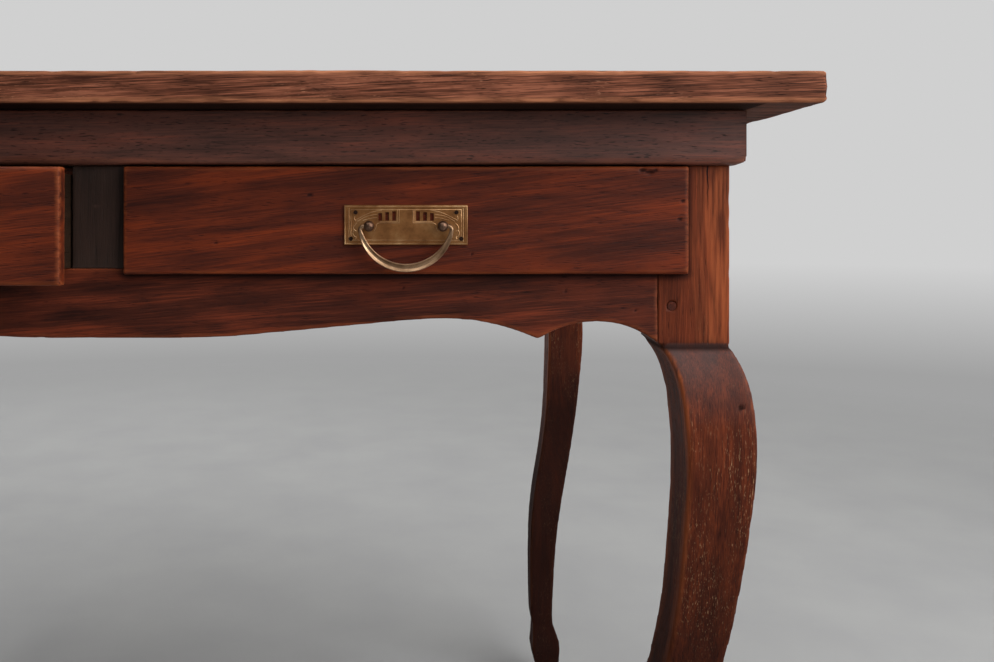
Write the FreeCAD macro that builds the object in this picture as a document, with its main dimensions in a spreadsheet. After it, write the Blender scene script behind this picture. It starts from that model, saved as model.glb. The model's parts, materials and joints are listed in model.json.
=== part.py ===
"""Old oak kitchen table with two lipped drawers, as a parametric document in millimetres.

+Z is up, the front is -Y and the origin is on the floor under the middle of the leg frame.
The right drawer is shut. The left drawer stands a little open and low on its worn runners.
"""
import FreeCAD, Part
import os

import Sketcher

SIZES = (
    ("table_height", "770", "floor to the top surface"),
    ("leg_frame_length", "900", "across the outer faces of the leg blocks, along X"),
    ("leg_frame_depth", "700", "across the outer faces of the leg blocks, along Y"),
    ("top_thickness", "22", "thickness of the top boards"),
    ("top_overhang", "50", "top beyond the leg blocks, on every side"),
    ("top_edge_radius", "3", "rounding of the top's outer edges"),
    ("top_corner_radius", "3.5", "rounding of the top's corners, seen from above"),
    ("frieze_height", "40", "height of the frieze boards under the top"),
    ("frieze_thickness", "20", "thickness of the frieze boards"),
    ("frieze_proud", "10", "how far the frieze stands out from the leg faces"),
    ("frieze_radius", "5", "rounding of the frieze's lower outer edge"),
    ("leg_block", "52", "side of the square block on top of each leg"),
    ("leg_edge_radius", "2.5", "rounding of the long edges of the legs"),
    ("apron_thickness", "24", "thickness of the aprons, the divider and the top rail"),
    ("apron_height", "55", "height of the front apron at the legs"),
    ("apron_end_rise", "1", "lower edge of an apron above the block bottom, at the leg"),
    ("scallop_height", "19", "highest arch of an apron's lower edge above the block bottom"),
    ("end_arch_length", "87.5", "arch beside the leg, from the leg to the cusp"),
    ("end_arch_peak", "45", "arch beside the leg, from the leg to its highest point"),
    ("main_arch_length", "67.5", "from the cusp to the highest point of the main arch"),
    ("cusp_radius", "6", "rounding of the cusps"),
    ("drawer_opening_height", "75", "apron top to frieze"),
    ("divider_width", "60", "width of the stile between the drawers"),
    ("divider_tenon_length", "5", "stub tenons of the divider"),
    ("divider_tenon_width", "40", "width of the divider's stub tenons"),
    ("divider_tenon_thickness", "7", "thickness of the divider's stub tenons"),
    ("divider_tenon_setback", "14", "front face to the divider's stub tenons"),
    ("tenon_length", "22", "apron tenons"),
    ("tenon_thickness", "10", "apron tenons"),
    ("tenon_setback", "8", "outer face to the apron tenons"),
    ("tenon_shoulder", "9", "shoulder above and below a tenon"),
    ("rail_tenon_setback", "7", "face of the top rail to its tenons"),
    ("glue_space", "1", "room left at the end of a tenon"),
    ("peg_radius", "3.2", "pegs through the tenons"),
    ("peg_length", "30", "pegs through the tenons"),
    ("peg_inset", "10", "inner face of the leg block to the middle of a peg"),
    ("peg_clearance", "0.1", "room round pegs, nails and screws"),
    ("runner_width", "26", "width of the outer runners and kickers"),
    ("runner_height", "20", "height of the runners and kickers"),
    ("runner_lift", "3.7", "runner tops above the apron top"),
    ("runner_wear", "3.5", "how far the left drawer's runners are worn down"),
    ("centre_runner_width", "100", "width of the runner and kicker between the drawers"),
    ("runner_tenon_length", "6", "stub tenons of the runners"),
    ("runner_tenon_height", "7", "stub tenons of the runners"),
    ("runner_tenon_rise", "2", "runner bottom to its stub tenons"),
    ("guide_height", "45", "height of the guides beside the drawers"),
    ("glue_block_side", "28", "glue blocks under the top"),
    ("glue_block_length", "70", "glue blocks under the top"),
    ("screw_radius", "2.2", "shank of the block screws"),
    ("screw_head_radius", "4.5", "head of the block screws"),
    ("screw_head_height", "3", "head of the block screws"),
    ("screw_bite", "13", "how far the block screws reach into the top"),
    ("lip_thickness", "10", "lip of the drawer fronts"),
    ("lip_overlap", "20", "lip over the divider and the leg"),
    ("lip_drop", "4", "lip below the apron top"),
    ("lip_top_gap", "1", "frieze to the top of the shut drawer's lip"),
    ("lip_radius", "2.5", "rounding of the lip's front edges"),
    ("stop_gap", "0.3", "frame to the back of the shut drawer's lip"),
    ("running_clearance", "0.3", "runner to the drawer sides"),
    ("side_clearance", "1.5", "opening to the drawer, on each side"),
    ("drawer_top_clearance", "3", "frieze to the top of the drawer sides"),
    ("drawer_tongue", "12", "part of the drawer front behind the lip"),
    ("drawer_length", "430", "drawer sides behind the front"),
    ("drawer_side_thickness", "10", "drawer sides and back"),
    ("drawer_back_drop", "4", "top of the sides to the top of the back"),
    ("drawer_bottom_thickness", "6", "drawer bottom"),
    ("drawer_bottom_rise", "8", "bottom of the sides to the drawer bottom"),
    ("groove_depth", "5", "grooves for the drawer bottom"),
    ("panel_clearance", "0.2", "drawer bottom in its grooves"),
    ("tail_width", "20", "dovetails at their wide end"),
    ("tail_taper", "3", "how much a dovetail narrows on each side"),
    ("nail_radius", "1", "nails through the drawer bottom"),
    ("nail_length", "22", "nails through the drawer bottom"),
    ("left_drawer_pull", "65", "how far the left drawer stands open"),
    ("plate_width", "88.5", "handle plate"),
    ("plate_height", "28.5", "handle plate"),
    ("plate_thickness", "1.8", "handle plate at its rim"),
    ("plate_rim", "2.2", "raised rim of the handle plate"),
    ("plate_recess", "0.5", "face of the plate below its rim"),
    ("handle_drop", "3.2", "middle of the drawer front to the middle of the plate"),
    ("slot_width", "2.7", "slots in the handle plate"),
    ("slot_first", "8.6", "middle of the plate to the first slot"),
    ("slot_spacing", "5", "slot to slot"),
    ("slot_base", "3", "middle of the plate to the bottom of the slots"),
    ("slot_height", "6.8", "height of the first slot"),
    ("slot_step", "0.65", "how much each further slot is shorter"),
    ("pin_radius", "1", "shank of the plate pins"),
    ("pin_head_radius", "1.5", "head of the plate pins"),
    ("pin_head_height", "0.7", "head of the plate pins"),
    ("pin_length", "10", "plate pins in the wood"),
    ("upper_pin_reach", "36.2", "middle of the plate to the upper pins"),
    ("upper_pin_rise", "9", "middle of the plate to the upper pins"),
    ("lower_pin_reach", "39.6", "middle of the plate to the lower pins"),
    ("lower_pin_drop", "9.9", "middle of the plate to the lower pins"),
    ("post_spread", "52.5", "middle of one handle post to the other"),
    ("post_drop", "0.8", "middle of the plate to the posts"),
    ("post_radius", "2", "shank of the handle posts"),
    ("post_collar_radius", "3.4", "collar of a post on the plate"),
    ("post_collar_height", "1.5", "collar of a post on the plate"),
    ("ball_radius", "3.9", "ball head of a post"),
    ("bail_standoff", "8", "face of the plate to the middle of the bail's pivots"),
    ("bail_wire", "3", "diameter of the bail at its ends"),
    ("bail_width", "68", "outer width of the bail"),
    ("bail_drop", "32.7", "pivots to the lowest point of the bail"),
    ("bail_band", "6", "height of the bail's band in the middle"),
    ("bail_elbow", "2.8", "bend of the bail's ends"),
    ("pivot_reach", "4.8", "how far a bail end goes into its ball"),
    ("pivot_clearance", "0.05", "room round the bail ends in the balls"),
    ("nut_radius", "5", "nuts inside the drawer"),
    ("nut_height", "3.5", "nuts inside the drawer"),
    ("post_tail", "2", "post beyond its nut"),
    ("overrun", "2", "how far a cutter passes a face"),
)

# Leg sections from the block down: drop as a share of the height under the block, then how far
# the outer faces stand out from the block and how wide the leg is, as shares of the block.
KNEE_SHARES = (
    (0.0, 0.0, 1.0),
    (0.019, 0.107, 0.960),
    (0.0485, 0.218, 0.970),
    (0.090, 0.283, 0.975),
    (0.135, 0.302, 0.965),
    (0.196, 0.264, 0.937),
    (0.258, 0.195, 0.900),
    (0.354, 0.052, 0.838),
    (0.428, -0.100, 0.815),
    (0.548, -0.384, 0.780),
    (0.666, -0.560, 0.692),
    (0.783, -0.632, 0.617),
    (0.849, -0.612, 0.555),
)
FOOT_SHARES = (
    (0.849, -0.612, 0.555),
    (0.889, -0.448, 0.720),
    (0.908, -0.432, 0.760),
    (0.936, -0.445, 0.690),
    (0.964, -0.430, 0.610),
    (1.0, -0.375, 0.600),
)
# Lower edge of an apron, inwards of the main arch: place as a share of what is left of the half
# length, and height as a share of the scallop.
OGEE_END_SHARES = (0.864, 0.915)
OGEE_START_SHARES = (0.432, 0.405)
FLAT_SHARES = (0.206, 0.263)
CUSP_HEIGHT_SHARE = 0.21
END_ARCH_HEIGHT_SHARE = 0.895
TAIL_SHARES = (0.27, 0.73)
FRONT_PEG_SHARES = (0.5,)
BACK_PEG_SHARES = (0.25, 0.75)
SIDE_BLOCK_SHARE = 0.5
END_BLOCK_SHARE = 0.45
NAIL_SHARES = (0.15, 0.5, 0.85)
BOARD_COUNT = 5
SLOT_COUNT = 3
NUT_SIDES = 6
QUARTER_TURN = 90
PEG_ROOM = "Dim.peg_clearance"

# Places that several pieces share, as expressions over the sheet.
TOP_UNDERSIDE = "(Dim.table_height - Dim.top_thickness)"
FRIEZE_BOTTOM = f"({TOP_UNDERSIDE} - Dim.frieze_height)"
APRON_TOP = f"({FRIEZE_BOTTOM} - Dim.drawer_opening_height)"
APRON_END = f"({APRON_TOP} - Dim.apron_height)"
BLOCK_BOTTOM = f"({APRON_END} - Dim.apron_end_rise)"
SIDE_FACE = "(Dim.leg_frame_length / 2)"
BACK_FACE = "(Dim.leg_frame_depth / 2)"
FRONT_FACE = "(-Dim.leg_frame_depth / 2)"
LEG_INNER_X = f"({SIDE_FACE} - Dim.leg_block)"
LEG_INNER_Y = f"({BACK_FACE} - Dim.leg_block)"
REBATE = "(Dim.frieze_thickness - Dim.frieze_proud)"
APRON_INNER_X = f"({SIDE_FACE} - Dim.apron_thickness)"
APRON_INNER_Y = f"({BACK_FACE} - Dim.apron_thickness)"
FRIEZE_INNER_X = f"({SIDE_FACE} - {REBATE})"
FRIEZE_INNER_Y = f"({BACK_FACE} - {REBATE})"
RAIL_INNER_Y = f"({FRIEZE_INNER_Y} - Dim.apron_thickness)"
RUNNER_TOP = f"({APRON_TOP} + Dim.runner_lift)"
DRAWER_LOW = f"({RUNNER_TOP} + Dim.running_clearance)"
DRAWER_HIGH = f"({FRIEZE_BOTTOM} - Dim.drawer_top_clearance)"
DRAWER_LEFT = "(Dim.divider_width / 2 + Dim.side_clearance)"
DRAWER_RIGHT = f"({LEG_INNER_X} - Dim.side_clearance)"
LIP_BACK = f"({FRONT_FACE} - Dim.stop_gap)"
LIP_FRONT = f"({LIP_BACK} - Dim.lip_thickness)"
SIDES_FRONT = f"({LIP_BACK} + Dim.drawer_tongue)"
DRAWER_REAR = f"({SIDES_FRONT} + Dim.drawer_length)"
PANEL_LOW = f"({DRAWER_LOW} + Dim.drawer_bottom_rise)"
PANEL_HIGH = f"({PANEL_LOW} + Dim.drawer_bottom_thickness)"
LIP_LEFT = "(Dim.divider_width / 2 - Dim.lip_overlap)"
LIP_RIGHT = f"({LEG_INNER_X} + Dim.lip_overlap)"
LIP_LOW = f"({APRON_TOP} - Dim.lip_drop)"
LIP_HIGH = f"({FRIEZE_BOTTOM} - Dim.lip_top_gap)"
HANDLE_X = f"(({LIP_LEFT} + {LIP_RIGHT}) / 2)"
HANDLE_Z = f"(({LIP_LOW} + {LIP_HIGH}) / 2 - Dim.handle_drop)"
PLATE_FACE = f"({LIP_FRONT} - Dim.plate_thickness + Dim.plate_recess)"
PIVOT_Y = f"({PLATE_FACE} - Dim.bail_standoff)"
PIVOT_Z = f"({HANDLE_Z} - Dim.post_drop)"

RIGHT = FreeCAD.Vector(1, 0, 0)
BACK = FreeCAD.Vector(0, 1, 0)
FRONT = FreeCAD.Vector(0, -1, 0)
UP = FreeCAD.Vector(0, 0, 1)
TOUCH = 1e-6

doc = FreeCAD.newDocument("kitchen_table")
sheet = doc.addObject("Spreadsheet::Sheet", "Dim")
for row, (alias, size, note) in enumerate(SIZES, start=1):
    sheet.set(f"A{row}", note)
    sheet.set(f"B{row}", size)
    sheet.setAlias(f"B{row}", alias)
doc.recompute()

nodes = []


def number(expression):
    """The value of an expression over the sheet."""
    return float(sheet.evalExpression(expression))


def node(piece, label):
    """List a finished piece under the name of its file."""
    piece.Label = label
    nodes.append(piece)
    return piece


def place(piece, spot):
    """Bind a piece's place to three expressions."""
    for axis, expression in zip("xyz", spot):
        piece.setExpression(f"Placement.Base.{axis}", expression)


def box(name, x, y, z):
    """A block between the low and high expressions of each axis."""
    block = doc.addObject("Part::Box", name)
    for side, (low, high) in zip(("Length", "Width", "Height"), (x, y, z)):
        block.setExpression(side, f"({high}) - ({low})")
    place(block, (x[0], y[0], z[0]))
    return block


def rod(name, start, direction, radius, length):
    """A cylinder that runs from start along direction."""
    bar = doc.addObject("Part::Cylinder", name)
    bar.Placement = FreeCAD.Placement(FreeCAD.Vector(), FreeCAD.Rotation(UP, direction))
    bar.setExpression("Radius", radius)
    bar.setExpression("Height", length)
    place(bar, start)
    return bar


def ball(name, middle, radius):
    """A sphere about a point."""
    sphere = doc.addObject("Part::Sphere", name)
    sphere.setExpression("Radius", radius)
    place(sphere, middle)
    return sphere


def fuse(name, shapes):
    """One solid from several that touch or overlap, or one tool from several cutters."""
    joined = doc.addObject("Part::MultiFuse", name)
    joined.Shapes = shapes
    joined.Refine = True
    return joined


def cut(name, base, cutters):
    """A piece with cutters taken away."""
    piece = doc.addObject("Part::Cut", name)
    piece.Base = base
    piece.Tool = cutters[0] if len(cutters) == 1 else fuse(f"{name}_cutters", cutters)
    piece.Refine = True
    return piece


def group(name, pieces):
    """Separate solids that share one node."""
    bundle = doc.addObject("Part::Compound", name)
    bundle.Links = pieces
    return bundle


def mirrored(name, source, normal):
    """A copy of a piece on the other side of the middle of the table."""
    copy = doc.addObject("Part::Mirroring", name)
    copy.Source = source
    copy.Normal = normal
    return copy


def flip(span):
    """The same span on the other side of zero."""
    return (f"-({span[1]})", f"-({span[0]})")


def centred(middle, width):
    """A span of a width about a middle."""
    return (f"{middle} - ({width}) / 2", f"{middle} + ({width}) / 2")


def between(low, high, share):
    """A place between two others."""
    return f"({low} + {share} * ({high} - {low}))"


def origin_plane(body, role):
    """One of a body's own origin planes."""
    return next(item for item in body.Origin.OriginFeatures if item.Role == role)


def arc_between(first, last, centre_x):
    """Circle arc between two points whose centre has a given first coordinate, and whether it
    runs from first to last counterclockwise."""
    rise = (last.x - centre_x) ** 2 + last.y ** 2 - (first.x - centre_x) ** 2 - first.y ** 2
    centre = FreeCAD.Vector(centre_x, rise / (2 * (last.y - first.y)), 0)
    circle = Part.Circle(centre, UP, (first - centre).Length)
    forward = (first - centre).cross(last - centre).z > 0
    begin, end = (first, last) if forward else (last, first)
    return Part.ArcOfCircle(circle, circle.parameter(begin), circle.parameter(end)), forward


def outline(body, name, role, offset, corners, arcs=()):
    """A closed sketch through corners given as pairs of expressions. Each pair in arcs names the
    corner that an arc leaves and the expression of the first coordinate of the arc's centre."""
    sketch = body.newObject("Sketcher::SketchObject", name)
    sketch.AttachmentSupport = (origin_plane(body, role), [""])
    sketch.MapMode = "FlatFace"
    sketch.setExpression("AttachmentOffset.Base.z", offset)
    points = [FreeCAD.Vector(number(x), number(y), 0) for x, y in corners]
    centres = dict(arcs)
    starts = []
    ends = []
    for index, point in enumerate(points):
        following = points[(index + 1) % len(points)]
        forward = True
        if index in centres:
            curve, forward = arc_between(point, following, number(centres[index]))
        else:
            curve = Part.LineSegment(point, following)
        line = sketch.addGeometry(curve)
        starts.append((line, 1 if forward else 2))
        ends.append((line, 2 if forward else 1))
    for index, end in enumerate(ends):
        joint = starts[(index + 1) % len(starts)]
        sketch.addConstraint(Sketcher.Constraint("Coincident", *end, *joint))
    for index, corner in enumerate(corners):
        for kind, expression in zip(("DistanceX", "DistanceY"), corner):
            bind(sketch, kind, starts[index], expression)
    for index, expression in centres.items():
        bind(sketch, "DistanceX", (starts[index][0], 3), expression)
    return sketch


def bind(sketch, kind, spot, expression):
    """Hold a point of a sketch at an expression's distance from the sketch's origin."""
    if expression == "0":
        axis = -2 if kind == "DistanceX" else -1
        sketch.addConstraint(Sketcher.Constraint("PointOnObject", *spot, axis))
        return
    rule = Sketcher.Constraint(kind, -1, 1, *spot, number(expression))
    index = sketch.addConstraint(rule)
    sketch.setExpression(f"Constraints[{index}]", expression)


def rectangle(x, y):
    """The corners of a rectangle between two spans."""
    return ((x[0], y[0]), (x[1], y[0]), (x[1], y[1]), (x[0], y[1]))


def pad(body, sketch, length, midplane=False):
    """Give a sketch its thickness."""
    feature = body.newObject("PartDesign::Pad", f"{sketch.Name}_pad")
    feature.Profile = sketch
    feature.Midplane = midplane
    feature.setExpression("Length", length)
    doc.recompute()
    return feature


def loft(body, sketches, ruled):
    """A solid through a row of sketches."""
    feature = body.newObject("PartDesign::AdditiveLoft", f"{sketches[0].Name}_loft")
    feature.Profile = sketches[0]
    feature.Sections = sketches[1:]
    feature.Ruled = ruled
    doc.recompute()
    return feature


def soften(body, base, radius, chosen):
    """Round the edges of a body that chosen picks."""
    feature = body.newObject("PartDesign::Fillet", f"{base.Name}_rounding")
    picked = [f"Edge{index}" for index, edge in enumerate(base.Shape.Edges, start=1) if chosen(edge)]
    feature.Base = (base, picked)
    feature.setExpression("Radius", radius)
    doc.recompute()
    return feature


def at(edge, axis, *places):
    """Whether a whole edge lies at one of the places along an axis."""
    low = getattr(edge.BoundBox, f"{axis}Min")
    high = getattr(edge.BoundBox, f"{axis}Max")
    slack = TOUCH * number("Dim.table_height")
    return high - low < slack and any(abs(low - place) < slack for place in places)


def screw_spots():
    """Where the glue blocks sit under the top: middle of each block, and the axis that it runs
    along."""
    inset = "Dim.glue_block_side / 2"
    side_x = f"({FRIEZE_INNER_X} - {inset})"
    front_y = f"(-({RAIL_INNER_Y} - {inset}))"
    back_y = f"({FRIEZE_INNER_Y} - {inset})"
    along_x = f"({END_BLOCK_SHARE} * {LEG_INNER_X})"
    along_y = f"({SIDE_BLOCK_SHARE} * {LEG_INNER_Y})"
    spots = []
    for sign in ("", "-"):
        spots.append((f"{sign}{side_x}", along_y, "y"))
        spots.append((f"{sign}{side_x}", f"-{along_y}", "y"))
        spots.append((f"{sign}{along_x}", front_y, "x"))
        spots.append((f"{sign}{along_x}", back_y, "x"))
    return spots


def top_boards():
    """The top: boards glued edge to edge, with the outer edges rounded."""
    half_length = f"({SIDE_FACE} + Dim.top_overhang)"
    half_depth = f"({BACK_FACE} + Dim.top_overhang)"
    holes = [
        rod(
            f"top_screw_hole_{index}",
            (x, y, TOP_UNDERSIDE),
            UP,
            "Dim.screw_radius + Dim.peg_clearance",
            "Dim.screw_bite + Dim.peg_clearance",
        )
        for index, (x, y, _) in enumerate(screw_spots(), start=1)
    ]
    drilled = fuse("top_screw_holes", holes)
    for index in range(BOARD_COUNT):
        name = f"top_board_{index + 1}"
        low = f"({index / BOARD_COUNT} * 2 - 1) * {half_depth}"
        high = f"({(index + 1) / BOARD_COUNT} * 2 - 1) * {half_depth}"
        body = doc.addObject("PartDesign::Body", f"{name}_body")
        corners = rectangle((f"-{half_length}", half_length), (low, high))
        sketch = outline(body, f"{name}_plan", "XY_Plane", TOP_UNDERSIDE, corners)
        solid = pad(body, sketch, "Dim.top_thickness")
        ends = (number(f"-{half_length}"), number(half_length))
        outer = (number(f"-{half_depth}"), number(half_depth))
        if index in (0, BOARD_COUNT - 1):
            solid = soften(
                body,
                solid,
                "Dim.top_corner_radius",
                lambda edge: at(edge, "X", *ends) and at(edge, "Y", *outer),
            )
        faces = (number(TOP_UNDERSIDE), number("Dim.table_height"))
        inner = {number(low), number(high)} - set(outer)
        soften(
            body,
            solid,
            "Dim.top_edge_radius",
            lambda edge: at(edge, "Z", *faces) and not at(edge, "Y", *inner),
        )
        node(cut(name, body, [drilled]), name)


def frieze():
    """Four mitred boards under the top, in rebates of the leg blocks."""
    outer_x = f"({SIDE_FACE} + Dim.frieze_proud)"
    outer_y = f"({BACK_FACE} + Dim.frieze_proud)"
    plans = {
        "frieze_back": (
            (f"-{FRIEZE_INNER_X}", FRIEZE_INNER_Y),
            (FRIEZE_INNER_X, FRIEZE_INNER_Y),
            (outer_x, outer_y),
            (f"-{outer_x}", outer_y),
        ),
        "frieze_right": (
            (FRIEZE_INNER_X, f"-{FRIEZE_INNER_Y}"),
            (outer_x, f"-{outer_y}"),
            (outer_x, outer_y),
            (FRIEZE_INNER_X, FRIEZE_INNER_Y),
        ),
    }
    outside = {"frieze_back": ("Y", outer_y), "frieze_right": ("X", outer_x)}
    boards = {}
    for name, corners in plans.items():
        body = doc.addObject("PartDesign::Body", name)
        sketch = outline(body, f"{name}_plan", "XY_Plane", FRIEZE_BOTTOM, corners)
        solid = pad(body, sketch, "Dim.frieze_height")
        axis, face = outside[name]
        soften(
            body,
            solid,
            "Dim.frieze_radius",
            lambda edge: at(edge, "Z", number(FRIEZE_BOTTOM)) and at(edge, axis, number(face)),
        )
        boards[name] = node(body, name)
    node(mirrored("frieze_front", boards["frieze_back"], BACK), "frieze_front")
    node(mirrored("frieze_left", boards["frieze_right"], RIGHT), "frieze_left")


def tenon_spans(low_z, high_z):
    """The tenon that enters the back right leg along X, as spans. Along Y, x and y swap roles."""
    shoulder = "Dim.tenon_shoulder"
    depth = f"{BACK_FACE} - Dim.tenon_setback"
    return {
        "along": (LEG_INNER_X, f"{LEG_INNER_X} + Dim.tenon_length"),
        "across": (f"{depth} - Dim.tenon_thickness", depth),
        "z": (f"{low_z} + {shoulder}", f"{high_z} - {shoulder}"),
    }


def side_tenon_spans():
    """The side apron's tenon in the back right leg."""
    reach = f"{SIDE_FACE} - Dim.tenon_setback"
    return {
        "along": (LEG_INNER_Y, f"{LEG_INNER_Y} + Dim.tenon_length"),
        "across": (f"{reach} - Dim.tenon_thickness", reach),
        "z": (f"{APRON_END} + Dim.tenon_shoulder", f"{FRIEZE_BOTTOM} - Dim.tenon_shoulder"),
    }


def rail_tenon_spans():
    """The top rail's tenon in the right leg, at the back of the frieze."""
    near = f"{FRIEZE_INNER_Y} - Dim.rail_tenon_setback"
    return {
        "along": (LEG_INNER_X, f"{LEG_INNER_X} + Dim.tenon_length"),
        "across": (f"{near} - Dim.tenon_thickness", near),
        "z": (f"{FRIEZE_BOTTOM} + Dim.tenon_shoulder", f"{TOP_UNDERSIDE} - Dim.tenon_shoulder"),
    }


BACK_TENON = tenon_spans(APRON_END, FRIEZE_BOTTOM)
FRONT_TENON = tenon_spans(APRON_END, APRON_TOP)
SIDE_TENON = side_tenon_spans()
RAIL_TENON = rail_tenon_spans()


def deeper(span):
    """A tenon's span with the room left at its end."""
    return (span[0], f"{span[1]} + Dim.glue_space")


def peg_heights(spans, shares):
    """Heights of the pegs through a tenon."""
    low, high = spans["z"]
    return [between(f"({low})", f"({high})", share) for share in shares]


def peg_row(name, spots, direction, room):
    """Pegs from a row of spots, or with room round them the cutters of their holes."""
    radius = f"Dim.peg_radius + {room}"
    length = f"Dim.peg_length + {room}"
    return [
        rod(f"{name}_{index}", spot, direction, radius, length)
        for index, spot in enumerate(spots, start=1)
    ]


def end_pegs(name, front, room):
    """Pegs of the right leg through the tenons of the front or the back apron."""
    face, inward = (FRONT_FACE, BACK) if front else (BACK_FACE, FRONT)
    spans, shares = (FRONT_TENON, FRONT_PEG_SHARES) if front else (BACK_TENON, BACK_PEG_SHARES)
    x = f"{LEG_INNER_X} + Dim.peg_inset"
    return peg_row(name, [(x, face, z) for z in peg_heights(spans, shares)], inward, room)


def side_pegs(name, front, room):
    """Pegs of a right leg through the tenons of the side apron."""
    sign = "-" if front else ""
    y = f"{sign}({LEG_INNER_Y} + Dim.peg_inset)"
    heights = peg_heights(SIDE_TENON, BACK_PEG_SHARES)
    return peg_row(name, [(SIDE_FACE, y, z) for z in heights], RIGHT.negative(), room)


def leg_section(body, name, shares):
    """One square section of the back right leg."""
    drop_share, offset_share, width_share = shares
    height = f"{BLOCK_BOTTOM} * (1 - {drop_share})"
    spans = []
    for face in (SIDE_FACE, BACK_FACE):
        outer = f"{face} + {offset_share} * Dim.leg_block"
        spans.append((f"{outer} - {width_share} * Dim.leg_block", outer))
    return outline(body, name, "XY_Plane", height, rectangle(*spans))


def leg_blank():
    """The back right leg before its mortises: knee, ankle, collar, hoof and block in one piece."""
    body = doc.addObject("PartDesign::Body", "leg_blank")
    knee = [leg_section(body, f"knee_{index}", row) for index, row in enumerate(KNEE_SHARES)]
    solid = loft(body, knee, False)
    slack = TOUCH * number("Dim.table_height")
    reach = number("Dim.leg_block")
    soften(
        body,
        solid,
        "Dim.leg_edge_radius",
        lambda edge: edge.BoundBox.ZLength > reach + slack,
    )
    foot = [leg_section(body, f"foot_{index}", row) for index, row in enumerate(FOOT_SHARES)]
    loft(body, foot, True)
    block = rectangle((LEG_INNER_X, SIDE_FACE), (LEG_INNER_Y, BACK_FACE))
    lower = outline(body, "block", "XY_Plane", BLOCK_BOTTOM, block)
    pad(body, lower, f"{FRIEZE_BOTTOM} - {BLOCK_BOTTOM}")
    stub = rectangle((LEG_INNER_X, FRIEZE_INNER_X), (LEG_INNER_Y, FRIEZE_INNER_Y))
    upper = outline(body, "block_top", "XY_Plane", FRIEZE_BOTTOM, stub)
    pad(body, upper, "Dim.frieze_height")
    return body


def legs():
    """Four legs with mortises and peg holes, the left ones mirrored from the right ones."""
    blank = leg_blank()
    front_blank = mirrored("leg_front_blank", blank, BACK)
    side = SIDE_TENON
    side_mortise = box("back_side_mortise", side["across"], deeper(side["along"]), side["z"])
    back_mortise = box("back_mortise", deeper(BACK_TENON["along"]), BACK_TENON["across"], BACK_TENON["z"])
    holes = end_pegs("back_peg_hole", False, PEG_ROOM) + side_pegs("back_side_peg_hole", False, PEG_ROOM)
    back = cut("leg_back_right", blank, [side_mortise, back_mortise] + holes)
    front_side = box("front_side_mortise", side["across"], flip(deeper(side["along"])), side["z"])
    front_mortise = box(
        "front_mortise", deeper(FRONT_TENON["along"]), flip(FRONT_TENON["across"]), FRONT_TENON["z"]
    )
    rail = RAIL_TENON
    rail_mortise = box("rail_mortise", deeper(rail["along"]), flip(rail["across"]), rail["z"])
    holes = end_pegs("front_peg_hole", True, PEG_ROOM) + side_pegs("front_side_peg_hole", True, PEG_ROOM)
    front = cut("leg_front_right", front_blank, [front_side, front_mortise, rail_mortise] + holes)
    node(back, "leg_back_right")
    node(front, "leg_front_right")
    node(mirrored("leg_back_left", back, RIGHT), "leg_back_left")
    node(mirrored("leg_front_left", front, RIGHT), "leg_front_left")
    row = []
    for front_end, end in ((True, "front"), (False, "back")):
        row += end_pegs(f"{end}_peg", front_end, "0") + side_pegs(f"{end}_side_peg", front_end, "0")
    right_pegs = group("right_pegs", row)
    node(group("frame_pegs", [right_pegs, mirrored("left_pegs", right_pegs, RIGHT)]), "frame_pegs")


def scallop(half, high):
    """Corners and arcs of one half of an apron: straight top, and a lower edge with an arch beside
    the leg, a cusp and a long main arch that runs out into a flat."""
    cusp_x = f"({half} - Dim.end_arch_length)"
    end_peak_x = f"({half} - Dim.end_arch_peak)"
    main_x = f"({cusp_x} - Dim.main_arch_length)"

    def lift(share):
        return f"{BLOCK_BOTTOM} + {share} * Dim.scallop_height"

    def inward(shares):
        return (f"{shares[0]} * {main_x}", lift(shares[1]))

    flat = inward(FLAT_SHARES)
    corners = (
        ("0", high),
        ("0", flat[1]),
        flat,
        inward(OGEE_START_SHARES),
        inward(OGEE_END_SHARES),
        (main_x, lift(1)),
        (cusp_x, lift(CUSP_HEIGHT_SHARE)),
        (end_peak_x, lift(END_ARCH_HEIGHT_SHARE)),
        (half, APRON_END),
        (half, high),
    )
    arcs = ((2, flat[0]), (4, main_x), (5, main_x), (6, end_peak_x), (7, end_peak_x))
    return corners, arcs, cusp_x


def scalloped_board(name, role, half, inner, high, mirror_role, axis):
    """An apron board, drawn as one half and mirrored, with its cusps rounded."""
    body = doc.addObject("PartDesign::Body", name)
    corners, arcs, cusp = scallop(half, high)
    sketch = outline(body, f"{name}_half", role, inner, corners, arcs)
    solid = pad(body, sketch, "Dim.apron_thickness")
    whole = body.newObject("PartDesign::Mirrored", f"{name}_whole")
    whole.Originals = [solid]
    whole.MirrorPlane = (origin_plane(body, mirror_role), [""])
    body.Tip = whole
    doc.recompute()
    spots = (number(cusp), number(f"-{cusp}"))
    soften(body, whole, "Dim.cusp_radius", lambda edge: at(edge, axis, *spots))
    return body


def runner_spans():
    """The three runners as X spans with how far each is worn down."""
    outer = (f"{LEG_INNER_X} - Dim.runner_width", LEG_INNER_X)
    centre = ("-Dim.centre_runner_width / 2", "Dim.centre_runner_width / 2")
    return {
        "runner_right": (outer, "0"),
        "runner_left": (flip(outer), "Dim.runner_wear"),
        "centre_runner": (centre, "0"),
    }


def runner_tenon(name, x, y, wear):
    """A stub tenon of a runner, also the cutter of its mortise."""
    low = f"{RUNNER_TOP} - Dim.runner_height - {wear} + Dim.runner_tenon_rise"
    return box(name, x, y, (low, f"{low} + Dim.runner_tenon_height"))


def runner_tenon_depth():
    """How deep the runners enter the back apron, as a Y span."""
    return (APRON_INNER_Y, f"{APRON_INNER_Y} + Dim.runner_tenon_length")


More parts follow.
